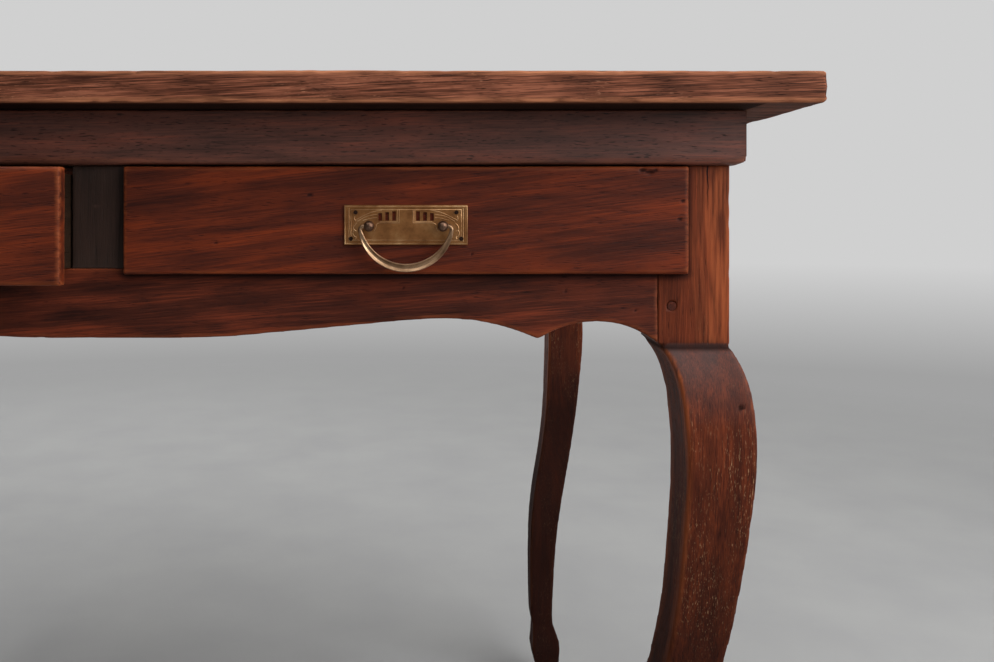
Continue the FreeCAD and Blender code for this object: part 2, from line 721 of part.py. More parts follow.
def aprons():
    """Front, back and side aprons with their tenons, and mortises for the runners and divider."""
    front = scalloped_board(
        "front_apron_board", "XZ_Plane", LEG_INNER_X, APRON_INNER_Y, APRON_TOP, "YZ_Plane", "X"
    )
    back = scalloped_board(
        "back_apron_board", "XZ_Plane", LEG_INNER_X, FRONT_FACE, FRIEZE_BOTTOM, "YZ_Plane", "X"
    )
    side = scalloped_board(
        "side_apron_board", "YZ_Plane", LEG_INNER_Y, APRON_INNER_X, FRIEZE_BOTTOM, "XZ_Plane", "Y"
    )
    ends = (("right", lambda span: span), ("left", flip))
    for name, board, spans, is_front in (
        ("front_apron", front, FRONT_TENON, True),
        ("back_apron", back, BACK_TENON, False),
    ):
        across = flip(spans["across"]) if is_front else spans["across"]
        tenons = [
            box(f"{name}_tenon_{end}", turn(spans["along"]), across, spans["z"]) for end, turn in ends
        ]
        right_holes = group(f"{name}_right_holes", end_pegs(f"{name}_peg_hole", is_front, PEG_ROOM))
        cutters = [right_holes, mirrored(f"{name}_left_holes", right_holes, RIGHT)]
        depth = flip(runner_tenon_depth()) if is_front else runner_tenon_depth()
        for runner, (x, wear) in runner_spans().items():
            cutters.append(runner_tenon(f"{name}_{runner}_mortise", x, depth, wear))
        if is_front:
            low = f"{APRON_TOP} - Dim.divider_tenon_length"
            cutters.append(divider_tenon("divider_mortise", low, APRON_TOP))
        whole = fuse(f"{name}_with_tenons", [board] + tenons)
        node(cut(name, whole, cutters), name)
    tenons = [
        box(f"side_apron_tenon_{end}", SIDE_TENON["across"], turn(SIDE_TENON["along"]), SIDE_TENON["z"])
        for end, turn in ends
    ]
    holes = side_pegs("side_apron_front_peg_hole", True, PEG_ROOM)
    holes += side_pegs("side_apron_back_peg_hole", False, PEG_ROOM)
    right = cut("side_apron_right", fuse("side_apron_with_tenons", [side] + tenons), holes)
    node(right, "side_apron_right")
    node(mirrored("side_apron_left", right, RIGHT), "side_apron_left")


def divider_tenon(name, low, high):
    """A stub tenon of the divider, also the cutter of its mortise."""
    near = f"{FRONT_FACE} + Dim.divider_tenon_setback"
    y = (near, f"{near} + Dim.divider_tenon_thickness")
    return box(name, centred("0", "Dim.divider_tenon_width"), y, (low, high))


def front_frame():
    """The top rail behind the frieze and the stile between the drawers."""
    rail_high = (FRIEZE_BOTTOM, f"{FRIEZE_BOTTOM} + Dim.divider_tenon_length")
    inner = (f"-{LEG_INNER_X}", LEG_INNER_X)
    behind = flip((RAIL_INNER_Y, FRIEZE_INNER_Y))
    rail = box("top_rail_board", inner, behind, (FRIEZE_BOTTOM, TOP_UNDERSIDE))
    across = flip(RAIL_TENON["across"])
    tenons = [
        box("top_rail_tenon_right", RAIL_TENON["along"], across, RAIL_TENON["z"]),
        box("top_rail_tenon_left", flip(RAIL_TENON["along"]), across, RAIL_TENON["z"]),
    ]
    mortise = divider_tenon("top_rail_mortise", *rail_high)
    node(cut("front_top_rail", fuse("top_rail_with_tenons", [rail] + tenons), [mortise]), "front_top_rail")
    stile = box(
        "divider_board",
        centred("0", "Dim.divider_width"),
        (FRONT_FACE, f"{FRONT_FACE} + Dim.apron_thickness"),
        (APRON_TOP, FRIEZE_BOTTOM),
    )
    stubs = [
        divider_tenon("divider_tenon_low", f"{APRON_TOP} - Dim.divider_tenon_length", APRON_TOP),
        divider_tenon("divider_tenon_high", *rail_high),
    ]
    node(fuse("drawer_divider", [stile] + stubs), "drawer_divider")


def runners():
    """What carries and guides the drawers: runners, guides beside them and kickers above them."""
    length = (f"-{APRON_INNER_Y}", APRON_INNER_Y)
    depth = runner_tenon_depth()
    for name, (x, wear) in runner_spans().items():
        top = f"{RUNNER_TOP} - {wear}"
        bar = box(f"{name}_bar", x, length, (f"{top} - Dim.runner_height", top))
        stubs = [
            runner_tenon(f"{name}_tenon_back", x, depth, wear),
            runner_tenon(f"{name}_tenon_front", x, flip(depth), wear),
        ]
        whole = fuse(f"{name}_whole" if name == "centre_runner" else name, [bar] + stubs)
        if name == "centre_runner":
            worn = box(
                "centre_runner_worn",
                (f"{x[0]} - Dim.overrun", "-Dim.divider_width / 2"),
                (f"{length[0]} - Dim.overrun", f"{length[1]} + Dim.overrun"),
                (f"{top} - Dim.runner_wear", f"{top} + Dim.overrun"),
            )
            whole = cut(name, whole, [worn])
        node(whole, name)
    guide_low = f"{RUNNER_TOP} - Dim.runner_height"
    guide = box(
        "guide_right",
        (LEG_INNER_X, APRON_INNER_X),
        (f"-{LEG_INNER_Y}", LEG_INNER_Y),
        (guide_low, f"{guide_low} + Dim.guide_height"),
    )
    node(guide, "guide_right")
    node(mirrored("guide_left", guide, RIGHT), "guide_left")
    ridge = (RUNNER_TOP, f"{guide_low} + Dim.guide_height")
    node(box("centre_guide", centred("0", "Dim.divider_width"), length, ridge), "centre_guide")
    kicker_z = (FRIEZE_BOTTOM, f"{FRIEZE_BOTTOM} + Dim.runner_height")
    kicker_y = (f"-{RAIL_INNER_Y}", FRIEZE_INNER_Y)
    kicker = box("kicker_right", runner_spans()["runner_right"][0], kicker_y, kicker_z)
    node(kicker, "kicker_right")
    node(mirrored("kicker_left", kicker, RIGHT), "kicker_left")
    node(box("centre_kicker", centred("0", "Dim.centre_runner_width"), kicker_y, kicker_z), "centre_kicker")


def glue_blocks():
    """Blocks rubbed into the corner under the top, each with a screw up into the top."""
    low = f"({TOP_UNDERSIDE} - Dim.glue_block_side)"
    blocks = []
    screws = []
    for index, (x, y, axis) in enumerate(screw_spots(), start=1):
        sizes = ("Dim.glue_block_length", "Dim.glue_block_side")
        wide, deep = sizes if axis == "x" else sizes[::-1]
        block = box(f"block_{index}", centred(x, wide), centred(y, deep), (low, TOP_UNDERSIDE))
        bore = f"Dim.screw_radius + {PEG_ROOM}"
        through = rod(f"block_{index}_hole", (x, y, low), UP, bore, "Dim.glue_block_side")
        seat = rod(
            f"block_{index}_seat",
            (x, y, low),
            UP,
            f"Dim.screw_head_radius + {PEG_ROOM}",
            f"Dim.screw_head_height + {PEG_ROOM}",
        )
        blocks.append(cut(f"glue_block_{index}", block, [through, seat]))
        head = rod(f"screw_{index}_head", (x, y, low), UP, "Dim.screw_head_radius", "Dim.screw_head_height")
        length = "Dim.glue_block_side + Dim.screw_bite"
        shank = rod(f"screw_{index}_shank", (x, y, low), UP, "Dim.screw_radius", length)
        screws.append(fuse(f"screw_{index}", [head, shank]))
    node(group("glue_blocks", blocks), "glue_blocks")
    node(group("block_screws", screws), "block_screws")


def dovetails(name, x):
    """The dovetails of one drawer side, also the cutters of their sockets."""
    tails = []
    for index, share in enumerate(TAIL_SHARES, start=1):
        tail = doc.addObject("Part::Wedge", f"{name}_{index}")
        for edge in ("Xmin", "X2min", "Ymin"):
            tail.setExpression(edge, "0")
        for edge in ("Xmax", "X2max"):
            tail.setExpression(edge, "Dim.drawer_side_thickness")
        tail.setExpression("Ymax", "Dim.drawer_tongue")
        tail.setExpression("Zmin", "0")
        tail.setExpression("Zmax", "Dim.tail_width")
        tail.setExpression("Z2min", "Dim.tail_taper")
        tail.setExpression("Z2max", "Dim.tail_width - Dim.tail_taper")
        low = f"{between(DRAWER_LOW, DRAWER_HIGH, share)} - Dim.tail_width / 2"
        place(tail, (x, LIP_BACK, low))
        tails.append(tail)
    return tails


def drawer_front():
    """The right drawer's front: a lip with rounded edges and a tongue with dovetail sockets."""
    body = doc.addObject("PartDesign::Body", "drawer_lip")
    corners = rectangle((LIP_LEFT, LIP_RIGHT), (LIP_LOW, LIP_HIGH))
    sketch = outline(body, "drawer_lip_face", "XZ_Plane", f"-{LIP_BACK}", corners)
    solid = pad(body, sketch, "Dim.lip_thickness")
    face = number(LIP_FRONT)
    soften(body, solid, "Dim.lip_radius", lambda edge: at(edge, "Y", face))
    height = (DRAWER_LOW, DRAWER_HIGH)
    tongue = box("drawer_tongue", (DRAWER_LEFT, DRAWER_RIGHT), (LIP_BACK, SIDES_FRONT), height)
    side = "Dim.drawer_side_thickness"
    sockets = dovetails("socket_left", DRAWER_LEFT) + dovetails("socket_right", f"{DRAWER_RIGHT} - {side}")
    groove = box(
        "front_groove",
        (f"{DRAWER_LEFT} + {side} - Dim.groove_depth", f"{DRAWER_RIGHT} - {side} + Dim.groove_depth"),
        (f"{SIDES_FRONT} - Dim.groove_depth", f"{SIDES_FRONT} + Dim.overrun"),
        (PANEL_LOW, PANEL_HIGH),
    )
    bores = []
    for sign in ("-", "+"):
        x = f"{HANDLE_X} {sign} Dim.post_spread / 2"
        bores.append(
            rod(
                f"front_bore_{len(bores)}",
                (x, f"{LIP_FRONT} - Dim.overrun", PIVOT_Z),
                BACK,
                "Dim.post_radius + Dim.peg_clearance",
                "Dim.lip_thickness + Dim.drawer_tongue + 2 * Dim.overrun",
            )
        )
    bores += plate_pins("front_pin_bore", "Dim.pin_radius + Dim.peg_clearance", PEG_ROOM)
    whole = fuse("drawer_front_blank", [body, tongue])
    return cut("right_drawer_front", whole, sockets + [groove] + bores)


def drawer_box():
    """The rest of the right drawer: sides, back, bottom and the nails that hold the bottom."""
    side = "Dim.drawer_side_thickness"
    pieces = {}
    inner_left = f"{DRAWER_LEFT} + {side}"
    inner_right = f"{DRAWER_RIGHT} - {side}"
    left_groove = (f"{inner_left} - Dim.groove_depth", f"{inner_left} + Dim.overrun")
    right_groove = (f"{inner_right} - Dim.overrun", f"{inner_right} + Dim.groove_depth")
    groove_y = (f"{SIDES_FRONT} - Dim.groove_depth", f"{DRAWER_REAR} + Dim.overrun")
    for hand, x, groove_x in (
        ("left", (DRAWER_LEFT, inner_left), left_groove),
        ("right", (inner_right, DRAWER_RIGHT), right_groove),
    ):
        board = box(f"side_{hand}_board", x, (SIDES_FRONT, DRAWER_REAR), (DRAWER_LOW, DRAWER_HIGH))
        whole = fuse(f"side_{hand}_with_tails", [board] + dovetails(f"tail_{hand}", x[0]))
        groove = box(f"side_{hand}_groove", groove_x, groove_y, (PANEL_LOW, PANEL_HIGH))
        pieces[f"side_{hand}"] = cut(f"right_drawer_side_{hand}", whole, [groove])
    rear = f"{DRAWER_REAR} - {side}"
    slack = "Dim.groove_depth - Dim.panel_clearance"
    back = box(
        "drawer_back_board",
        (inner_left, inner_right),
        (rear, DRAWER_REAR),
        (PANEL_HIGH, f"{DRAWER_HIGH} - Dim.drawer_back_drop"),
    )
    bottom = box(
        "drawer_bottom_board",
        (f"{inner_left} - ({slack})", f"{inner_right} + {slack}"),
        (f"{SIDES_FRONT} - ({slack})", DRAWER_REAR),
        (PANEL_LOW, PANEL_HIGH),
    )
    nails = []
    holes = []
    for index, share in enumerate(NAIL_SHARES, start=1):
        spot = (between(f"({inner_left})", f"({inner_right})", share), f"{rear} + {side} / 2", PANEL_LOW)
        nails.append(rod(f"nail_{index}", spot, UP, "Dim.nail_radius", "Dim.nail_length"))
        holes.append(
            rod(
                f"nail_hole_{index}",
                spot,
                UP,
                "Dim.nail_radius + Dim.peg_clearance",
                "Dim.nail_length + Dim.peg_clearance",
            )
        )
    drilled = fuse("nail_holes", holes)
    pieces["back"] = cut("right_drawer_back", back, [drilled])
    pieces["bottom"] = cut("right_drawer_bottom", bottom, [drilled])
    pieces["nails"] = group("right_drawer_nails", nails)
    return pieces


def plate_pins(name, radius, extra):
    """The shanks of the four plate pins, or the cutters of their holes, which have extra room."""
    spots = []
    for sign in ("-", "+"):
        spots.append((f"{HANDLE_X} {sign} Dim.upper_pin_reach", f"{HANDLE_Z} + Dim.upper_pin_rise"))
        spots.append((f"{HANDLE_X} {sign} Dim.lower_pin_reach", f"{HANDLE_Z} - Dim.lower_pin_drop"))
    return [
        rod(f"{name}_{index}", (x, PLATE_FACE, z), BACK, radius, f"Dim.pin_length + {extra}")
        for index, (x, z) in enumerate(spots, start=1)
    ]


def handle_plate():
    """The brass plate: raised rim, slots in two threes, and holes for posts and pins."""
    half_x = "Dim.plate_width / 2"
    half_z = "Dim.plate_height / 2"
    front = f"{LIP_FRONT} - Dim.plate_thickness"
    blank = box(
        "plate_blank",
        (f"{HANDLE_X} - {half_x}", f"{HANDLE_X} + {half_x}"),
        (front, LIP_FRONT),
        (f"{HANDLE_Z} - {half_z}", f"{HANDLE_Z} + {half_z}"),
    )
    field = box(
        "plate_field",
        (f"{HANDLE_X} - {half_x} + Dim.plate_rim", f"{HANDLE_X} + {half_x} - Dim.plate_rim"),
        (f"{front} - Dim.overrun", PLATE_FACE),
        (f"{HANDLE_Z} - {half_z} + Dim.plate_rim", f"{HANDLE_Z} + {half_z} - Dim.plate_rim"),
    )
    cutters = [field]
    through = (f"{front} - Dim.overrun", f"{LIP_FRONT} + Dim.overrun")
    low = f"{HANDLE_Z} + Dim.slot_base"
    for sign in ("-", "+"):
        for index in range(SLOT_COUNT):
            middle = f"{HANDLE_X} {sign} (Dim.slot_first + {index} * Dim.slot_spacing)"
            height = (low, f"{low} + Dim.slot_height - {index} * Dim.slot_step")
            cutters.append(box(f"slot_{len(cutters)}", centred(middle, "Dim.slot_width"), through, height))
        x = f"{HANDLE_X} {sign} Dim.post_spread / 2"
        cutters.append(
            rod(
                f"plate_bore_{len(cutters)}",
                (x, through[0], PIVOT_Z),
                BACK,
                "Dim.post_radius + Dim.peg_clearance",
                "Dim.plate_thickness + 2 * Dim.overrun",
            )
        )
    cutters += plate_pins("plate_pin_bore", "Dim.pin_radius + Dim.peg_clearance", PEG_ROOM)
    return cut("right_handle_plate", blank, cutters)


def handle_pins():
    """Four round-headed pins that hold the plate."""
    pins = []
    for index, shank in enumerate(plate_pins("pin_shank", "Dim.pin_radius", "0"), start=1):
        head = doc.addObject("Part::Cylinder", f"pin_head_{index}")
        head.Placement = FreeCAD.Placement(FreeCAD.Vector(), FreeCAD.Rotation(UP, FRONT))
        head.setExpression("Radius", "Dim.pin_head_radius")
        head.setExpression("Height", "Dim.pin_head_height")
        place(head, [f"{shank.Name}.Placement.Base.{axis}" for axis in "xyz"])
        pins.append(fuse(f"pin_{index}", [head, shank]))
    return group("right_handle_pins", pins)


def handle_posts():
    """Two posts through plate and drawer front, each with a collar and a bored ball, and the nuts."""
    posts = []
    nuts = []
    for sign, hand in (("-", "left"), ("+", "right")):
        x = f"{HANDLE_X} {sign} Dim.post_spread / 2"
        length = f"{SIDES_FRONT} + Dim.nut_height + Dim.post_tail - {PIVOT_Y}"
        shank = rod(f"post_{hand}_shank", (x, PIVOT_Y, PIVOT_Z), BACK, "Dim.post_radius", length)
        collar = rod(
            f"post_{hand}_collar",
            (x, PLATE_FACE, PIVOT_Z),
            FRONT,
            "Dim.post_collar_radius",
            "Dim.post_collar_height",
        )
        head = ball(f"post_{hand}_ball", (x, PIVOT_Y, PIVOT_Z), "Dim.ball_radius")
        bore = rod(
            f"post_{hand}_bore",
            (f"{x} - Dim.ball_radius - Dim.overrun", PIVOT_Y, PIVOT_Z),
            RIGHT,
            "Dim.bail_wire / 2 + Dim.pivot_clearance",
            "2 * (Dim.ball_radius + Dim.overrun)",
        )
        posts.append(cut(f"post_{hand}", fuse(f"post_{hand}_blank", [shank, collar, head]), [bore]))
        nut = doc.addObject("Part::Prism", f"nut_{hand}_blank")
        nut.Polygon = NUT_SIDES
        nut.Placement = FreeCAD.Placement(FreeCAD.Vector(), FreeCAD.Rotation(UP, BACK))
        nut.setExpression("Circumradius", "Dim.nut_radius")
        nut.setExpression("Height", "Dim.nut_height")
        place(nut, (x, SIDES_FRONT, PIVOT_Z))
        thread = rod(
            f"nut_{hand}_thread",
            (x, f"{SIDES_FRONT} - Dim.overrun", PIVOT_Z),
            BACK,
            "Dim.post_radius + Dim.peg_clearance",
            "Dim.nut_height + 2 * Dim.overrun",
        )
        nuts.append(cut(f"nut_{hand}", nut, [thread]))
    return group("right_handle_posts", posts), group("right_handle_nuts", nuts)


def handle_bail():
    """The bail: a crescent band that thins to round elbows and pivots in the two balls."""
    body = doc.addObject("PartDesign::Body", "bail_band_body")
    half = "Dim.bail_width / 2"
    corners = (
        (f"{HANDLE_X}", f"{PIVOT_Z} - Dim.bail_drop"),
        (f"{HANDLE_X} + {half}", f"{PIVOT_Z} - Dim.bail_elbow"),
        (f"{HANDLE_X} + {half} - Dim.bail_wire", f"{PIVOT_Z} - Dim.bail_elbow"),
        (f"{HANDLE_X}", f"{PIVOT_Z} - Dim.bail_drop + Dim.bail_band"),
    )
    sketch = outline(body, "bail_half", "XZ_Plane", f"-{PIVOT_Y}", corners, ((0, HANDLE_X), (2, HANDLE_X)))
    pad(body, sketch, "Dim.bail_wire", True)
    pieces = [body, bail_mirror(body, "bail_band_left")]
    elbow_x = f"{half} - Dim.bail_wire / 2 - Dim.bail_elbow"
    elbow = doc.addObject("Part::Torus", "bail_elbow")
    elbow.setExpression("Radius1", "Dim.bail_elbow")
    elbow.setExpression("Radius2", "Dim.bail_wire / 2")
    elbow.Angle3 = QUARTER_TURN
    elbow.Placement = FreeCAD.Placement(FreeCAD.Vector(), FreeCAD.Rotation(RIGHT, QUARTER_TURN))
    place(elbow, (f"{HANDLE_X} + {elbow_x}", PIVOT_Y, f"{PIVOT_Z} - Dim.bail_elbow"))
    inner = "Dim.post_spread / 2 + Dim.ball_radius - Dim.pivot_reach"
    pivot = rod(
        "bail_pivot",
        (f"{HANDLE_X} + {inner}", PIVOT_Y, PIVOT_Z),
        RIGHT,
        "Dim.bail_wire / 2",
        f"{elbow_x} - ({inner})",
    )
    for name, piece in (("bail_elbow_left", elbow), ("bail_pivot_left", pivot)):
        pieces += [piece, bail_mirror(piece, name)]
    return fuse("right_handle_bail", pieces)


def bail_mirror(source, name):
    """The other half of a bail's piece, about the middle of its drawer."""
    copy = mirrored(name, source, RIGHT)
    copy.setExpression("Base.x", HANDLE_X)
    return copy


def drawers():
    """The right drawer with its handle, and the left one, mirrored, pulled out and lower."""
    posts, nuts = handle_posts()
    pieces = {"drawer_front": drawer_front()}
    for name, piece in drawer_box().items():
        pieces[f"drawer_{name}"] = piece
    pieces["handle_plate"] = handle_plate()
    pieces["handle_posts"] = posts
    pieces["handle_nuts"] = nuts
    pieces["handle_pins"] = handle_pins()
    pieces["handle_bail"] = handle_bail()
    swap = {"drawer_side_left": "drawer_side_right", "drawer_side_right": "drawer_side_left"}
    for name, piece in pieces.items():
        node(piece, f"right_{name}")
        copy = mirrored(f"left_{swap.get(name, name)}", piece, RIGHT)
        place(copy, ("0", "-Dim.left_drawer_pull", "-Dim.runner_wear"))
        node(copy, f"left_{swap.get(name, name)}")


def check():
    """Stop unless every object worked and every piece is a sound solid."""
    for item in doc.Objects:
        if "Invalid" in item.State or "Error" in item.State:
            raise RuntimeError(f"{item.Label} failed: {item.State}")
    for piece in nodes:
        if piece.Shape.isNull() or not piece.Shape.isValid() or not piece.Shape.Solids:
            raise RuntimeError(f"{piece.Label} has no sound shape")


top_boards()
frieze()
legs()
aprons()
front_frame()
runners()
glue_blocks()
drawers()
doc.recompute()
check()

os.makedirs("parts", exist_ok=True)
for piece in nodes:
    piece.Shape.exportStep(os.path.join("parts", f"{piece.Label}.step"))
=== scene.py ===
"""Looks of the old oak kitchen table: worn stained wood, aged brass and a plain studio."""
import itertools
import json
import math

import bpy
import numpy as np
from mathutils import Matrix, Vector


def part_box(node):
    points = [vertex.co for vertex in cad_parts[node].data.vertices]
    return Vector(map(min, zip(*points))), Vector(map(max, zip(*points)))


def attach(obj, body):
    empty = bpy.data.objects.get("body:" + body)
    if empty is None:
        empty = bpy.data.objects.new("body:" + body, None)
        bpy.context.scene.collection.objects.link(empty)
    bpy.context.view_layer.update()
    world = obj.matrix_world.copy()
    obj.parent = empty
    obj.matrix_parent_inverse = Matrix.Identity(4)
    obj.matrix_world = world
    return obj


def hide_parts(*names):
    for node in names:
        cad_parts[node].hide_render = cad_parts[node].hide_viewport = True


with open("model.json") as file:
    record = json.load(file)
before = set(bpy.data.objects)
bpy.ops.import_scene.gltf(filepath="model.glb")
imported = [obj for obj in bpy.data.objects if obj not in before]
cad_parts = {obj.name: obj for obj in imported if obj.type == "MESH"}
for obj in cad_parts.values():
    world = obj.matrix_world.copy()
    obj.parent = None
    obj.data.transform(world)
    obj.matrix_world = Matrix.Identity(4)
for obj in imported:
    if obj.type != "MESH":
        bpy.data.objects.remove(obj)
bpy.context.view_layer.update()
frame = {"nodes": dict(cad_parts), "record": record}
NODES = frame["nodes"]
RECORD = frame["record"]
BODIES = RECORD["behaviour"]["bodies"]
BODY_OF = {node: body for body, held in BODIES.items() for node in held}
SLOT_OF = {row["node"]: row["material_slot"] for row in RECORD["subparts"]}
PIVOT_OF = {row["name"]: row.get("pos_m") for row in RECORD["behaviour"]["joints"]}
MM = 0.001
PER_METRE = 1000

# The photograph's frame and lens in pixels, with the point that the camera looks at, the sensor's
# width in millimetres and the camera's place in metres.
IMAGE_SIZE = (994, 662)
VANISHING_POINT = (414, 216)
FOCAL_LENGTH = 920
SENSOR_WIDTH = 36
CAMERA_SPOT = (0.2197, -1.0217, 0.6712)


def tone(red, green, blue):
    """A colour as it looks on screen, turned into light by the sRGB curve."""
    light = []
    for part in (red / 255, green / 255, blue / 255):
        light.append(part / 12.92 if part <= 0.04045 else ((part + 0.055) / 1.055) ** 2.4)
    return (*light, 1.0)


# Looks of the wood: shade, middle, warm, pore, worn and fleck colours, width of the growth rings in
# millimetres, how far the heart of the tree lies from the board's middle, across and deep, how
# much the grain runs out along the board, how strong dark dashes, light dashes and dark lines are,
# how much the surface shines, the weights of fine streaks, dark blotches and warm patches with how
# far the grain's tones are apart, and the pores' size where it isn't the usual one.
LOOKS = {
    "top": {
        "colours": (
            tone(56, 30, 20), tone(96, 54, 37), tone(138, 84, 62),
            tone(28, 14, 9), tone(168, 108, 76), tone(194, 138, 106),
        ),
        "ring": 3.2, "heart": (25, 60), "slope": 0.045, "dashes": (0.95, 0.6, 0.3), "sheen": 0.08,
        "weights": (0.7, 0.25, 0.3, 0.11),
    },
    "frieze": {
        "colours": (
            tone(54, 33, 27), tone(88, 52, 42), tone(120, 63, 47),
            tone(30, 18, 15), tone(131, 78, 57), tone(126, 85, 69),
        ),
        "ring": 3.6, "heart": (30, 80), "slope": 0.02, "dashes": (1.0, 0.25, 0.3), "sheen": 0.3,
        "weights": (0.5, 0.35, 0.3, 0.16), "pores": (7.0, 1.1, 1.1),
    },
    "drawer": {
        "colours": (
            tone(46, 20, 14), tone(80, 33, 19), tone(116, 46, 20),
            tone(30, 12, 9), tone(138, 70, 36), tone(126, 66, 36),
        ),
        "ring": 9.0, "heart": (-20, 70), "slope": 0.12, "dashes": (0.75, 0.1, 0.2), "sheen": 0.1,
        "weights": (0.45, 0.34, 0.42, 0.17),
    },
    "apron": {
        "colours": (
            tone(39, 17, 12), tone(70, 31, 20), tone(110, 47, 27),
            tone(23, 10, 8), tone(124, 63, 36), tone(113, 65, 41),
        ),
        "ring": 7.0, "heart": (20, 60), "slope": 0.08, "dashes": (0.75, 0.12, 0.2), "sheen": 0.1,
        "weights": (0.45, 0.38, 0.5, 0.15),
    },
    "leg": {
        "colours": (
            tone(50, 21, 13), tone(87, 38, 22), tone(126, 58, 31),
            tone(24, 10, 7), tone(160, 84, 48), tone(214, 170, 126),
        ),
        "ring": 4.0, "heart": (40, 30), "slope": 0.02, "dashes": (0.6, 0.75, 0.25), "sheen": 0.07,
        "weights": (0.55, 0.4, 0.35, 0.16),
    },
    "stile": {
        "colours": (
            tone(35, 26, 22), tone(47, 34, 29), tone(56, 40, 33),
            tone(26, 19, 16), tone(84, 58, 47), tone(72, 56, 49),
        ),
        "ring": 4.0, "heart": (20, 60), "slope": 0.02, "dashes": (0.4, 0.1, 0.1), "sheen": 0.15,
        "weights": (0.5, 0.3, 0.3, 0.15),
    },
    # Drawer sides: aged dark wood, darker still as painted shade for the gap beside the open
    # drawer.
    "side": {
        "colours": (
            tone(26, 18, 13), tone(40, 28, 20), tone(54, 38, 27),
            tone(16, 11, 8), tone(80, 58, 41), tone(72, 53, 38),
        ),
        "ring": 4.0, "heart": (20, 50), "slope": 0.03, "dashes": (0.5, 0.2, 0.2), "sheen": 0.1,
        "weights": (0.5, 0.3, 0.3, 0.15),
    },
    "bare": {
        "colours": (
            tone(98, 70, 44), tone(138, 102, 66), tone(164, 124, 84),
            tone(66, 46, 29), tone(182, 146, 104), tone(184, 150, 110),
        ),
        "ring": 4.0, "heart": (20, 50), "slope": 0.03, "dashes": (0.6, 0.2, 0.3), "sheen": 0.1,
        "weights": (0.6, 0.3, 0.3, 0.15),
    },
}
# Grey painted sheen on the knees' tops.
KNEE_SHEEN_TONE = tone(92, 77, 75)
# Length, width and depth of the pores in millimetres, where a look gives no others.
PORES = (9.0, 0.7, 0.7)
# Sizes of the grain's features in millimetres, along the grain and twice across it.
GRAIN_SIZES = {
    "wave": (150.0, 36.0, 36.0),
    "streak": (34.0, 0.9, 0.9),
    "flame": (110.0, 9.0, 9.0),
    "blotch": (120.0, 26.0, 26.0),
    "glow": (90.0, 26.0, 26.0),
    "light": (5.0, 0.55, 0.55),
    "patch": (70.0, 24.0, 24.0),
    "rub": (40.0, 2.5, 2.5),
}
# Values of noise between which each of them comes in.
GRAIN_STARTS = {
    "blotch": (0.48, 0.68),
    "glow": (0.5, 0.7),
    "lines": (0.78, 1.1),
    "pores": (0.58, 0.7),
    "light": (0.62, 0.74),
    "patch": (0.42, 0.6),
    "rub": (0.35, 0.65),
    "worn": (0.15, 0.9),
    "rough": (0.3, 0.7),
}
RING_BEND = 40.0
OTHER_SHIFT = (31.0, 17.0, 23.0)
SEED_STEPS = (137.0, 71.0, 53.0)
RUB_RANGE = (0.35, 1.3)
WORN_SHARE = 0.8
GRIME_AND_SHADE_SHARE = 0.9
ROUGHNESS = {"top": 0.62}
USUAL_ROUGHNESS = 0.4
ROUGHNESS_SPAN = 0.14
PORE_ROUGHNESS = 0.2
GRIME_AND_SHADE_ROUGHNESS = 0.35
WOOD_RELIEF = 0.4 * MM
WOOD_BUMP = 0.4
GRAIN_ORDER = {"X": ("X", "Z", "Y"), "Y": ("Y", "Z", "X"), "Z": ("Z", "X", "Y")}


class Net:
    """Short calls for a material's nodes."""

    def __init__(self, name):
        self.material = bpy.data.materials.new(name)
        self.material.use_nodes = True
        self.tree = self.material.node_tree
        self.shader = self.tree.nodes["Principled BSDF"]

    def wire(self, value, socket):
        if isinstance(value, bpy.types.NodeSocket):
            self.tree.links.new(value, socket)
        else:
            socket.default_value = value

    def put(self, kind, wires, **settings):
        item = self.tree.nodes.new(kind)
        for key, value in settings.items():
            setattr(item, key, value)
        for socket, value in wires.items():
            self.wire(value, item.inputs[socket])
        return item

    def sum(self, operation, first, second=0.0, clamp=False):
        return self.put(
            "ShaderNodeMath", {0: first, 1: second}, operation=operation, use_clamp=clamp
        ).outputs[0]

    def noise(self, spot, sizes, detail=3.0):
        scaled = self.vector("DIVIDE", spot, sizes)
        wires = {"Vector": scaled, "Scale": 1.0, "Detail": detail}
        return self.put("ShaderNodeTexNoise", wires).outputs["Fac"]

    def remap(self, value, low, high, start=0.0, end=1.0):
        return self.put(
            "ShaderNodeMapRange", {"Value": value, 1: low, 2: high, 3: start, 4: end}
        ).outputs[0]

    def mix(self, share, first, second):
        wires = {0: share, 6: first, 7: second}
        return self.put("ShaderNodeMix", wires, data_type="RGBA").outputs[2]

    def ramp(self, value, stops):
        item = self.put("ShaderNodeValToRGB", {"Fac": value})
        points = item.color_ramp.elements
        while len(points) < len(stops):
            points.new(1.0)
        for point, (place, colour) in zip(points, stops):
            point.position = place
            point.color = colour
        return item.outputs["Color"]

    def place(self):
        """Object coordinates in metres."""
        return self.put("ShaderNodeTexCoord", {}).outputs["Object"]

    def spot(self):
        """Object coordinates in millimetres."""
        return self.vector("SCALE", self.place(), Scale=PER_METRE)

    def vector(self, operation, first, second=None, **wires):
        if second is not None:
            wires[1] = second
        return self.put("ShaderNodeVectorMath", {0: first, **wires}, operation=operation).outputs[0]

    def length(self, value):
        return self.put("ShaderNodeVectorMath", {0: value}, operation="LENGTH").outputs["Value"]

    def attribute(self, name):
        return self.put("ShaderNodeAttribute", {}, attribute_name=name).outputs["Fac"]

    def bump(self, height, strength, distance):
        bent = self.put(
            "ShaderNodeBump", {"Height": height, "Strength": strength, "Distance": distance}
        ).outputs["Normal"]
        self.wire(bent, self.shader.inputs["Normal"])


def grain_spot(net, axis, seed):
    """Object coordinates in millimetres with the grain first, and the three of them apart."""
    apart = net.put("ShaderNodeSeparateXYZ", {0: net.spot()}).outputs
    parts = [apart[letter] for letter in GRAIN_ORDER[axis]]
    turned = net.put("ShaderNodeCombineXYZ", dict(enumerate(parts))).outputs[0]
    shift = tuple(seed * step for step in SEED_STEPS)
    return net.vector("ADD", turned, shift), parts


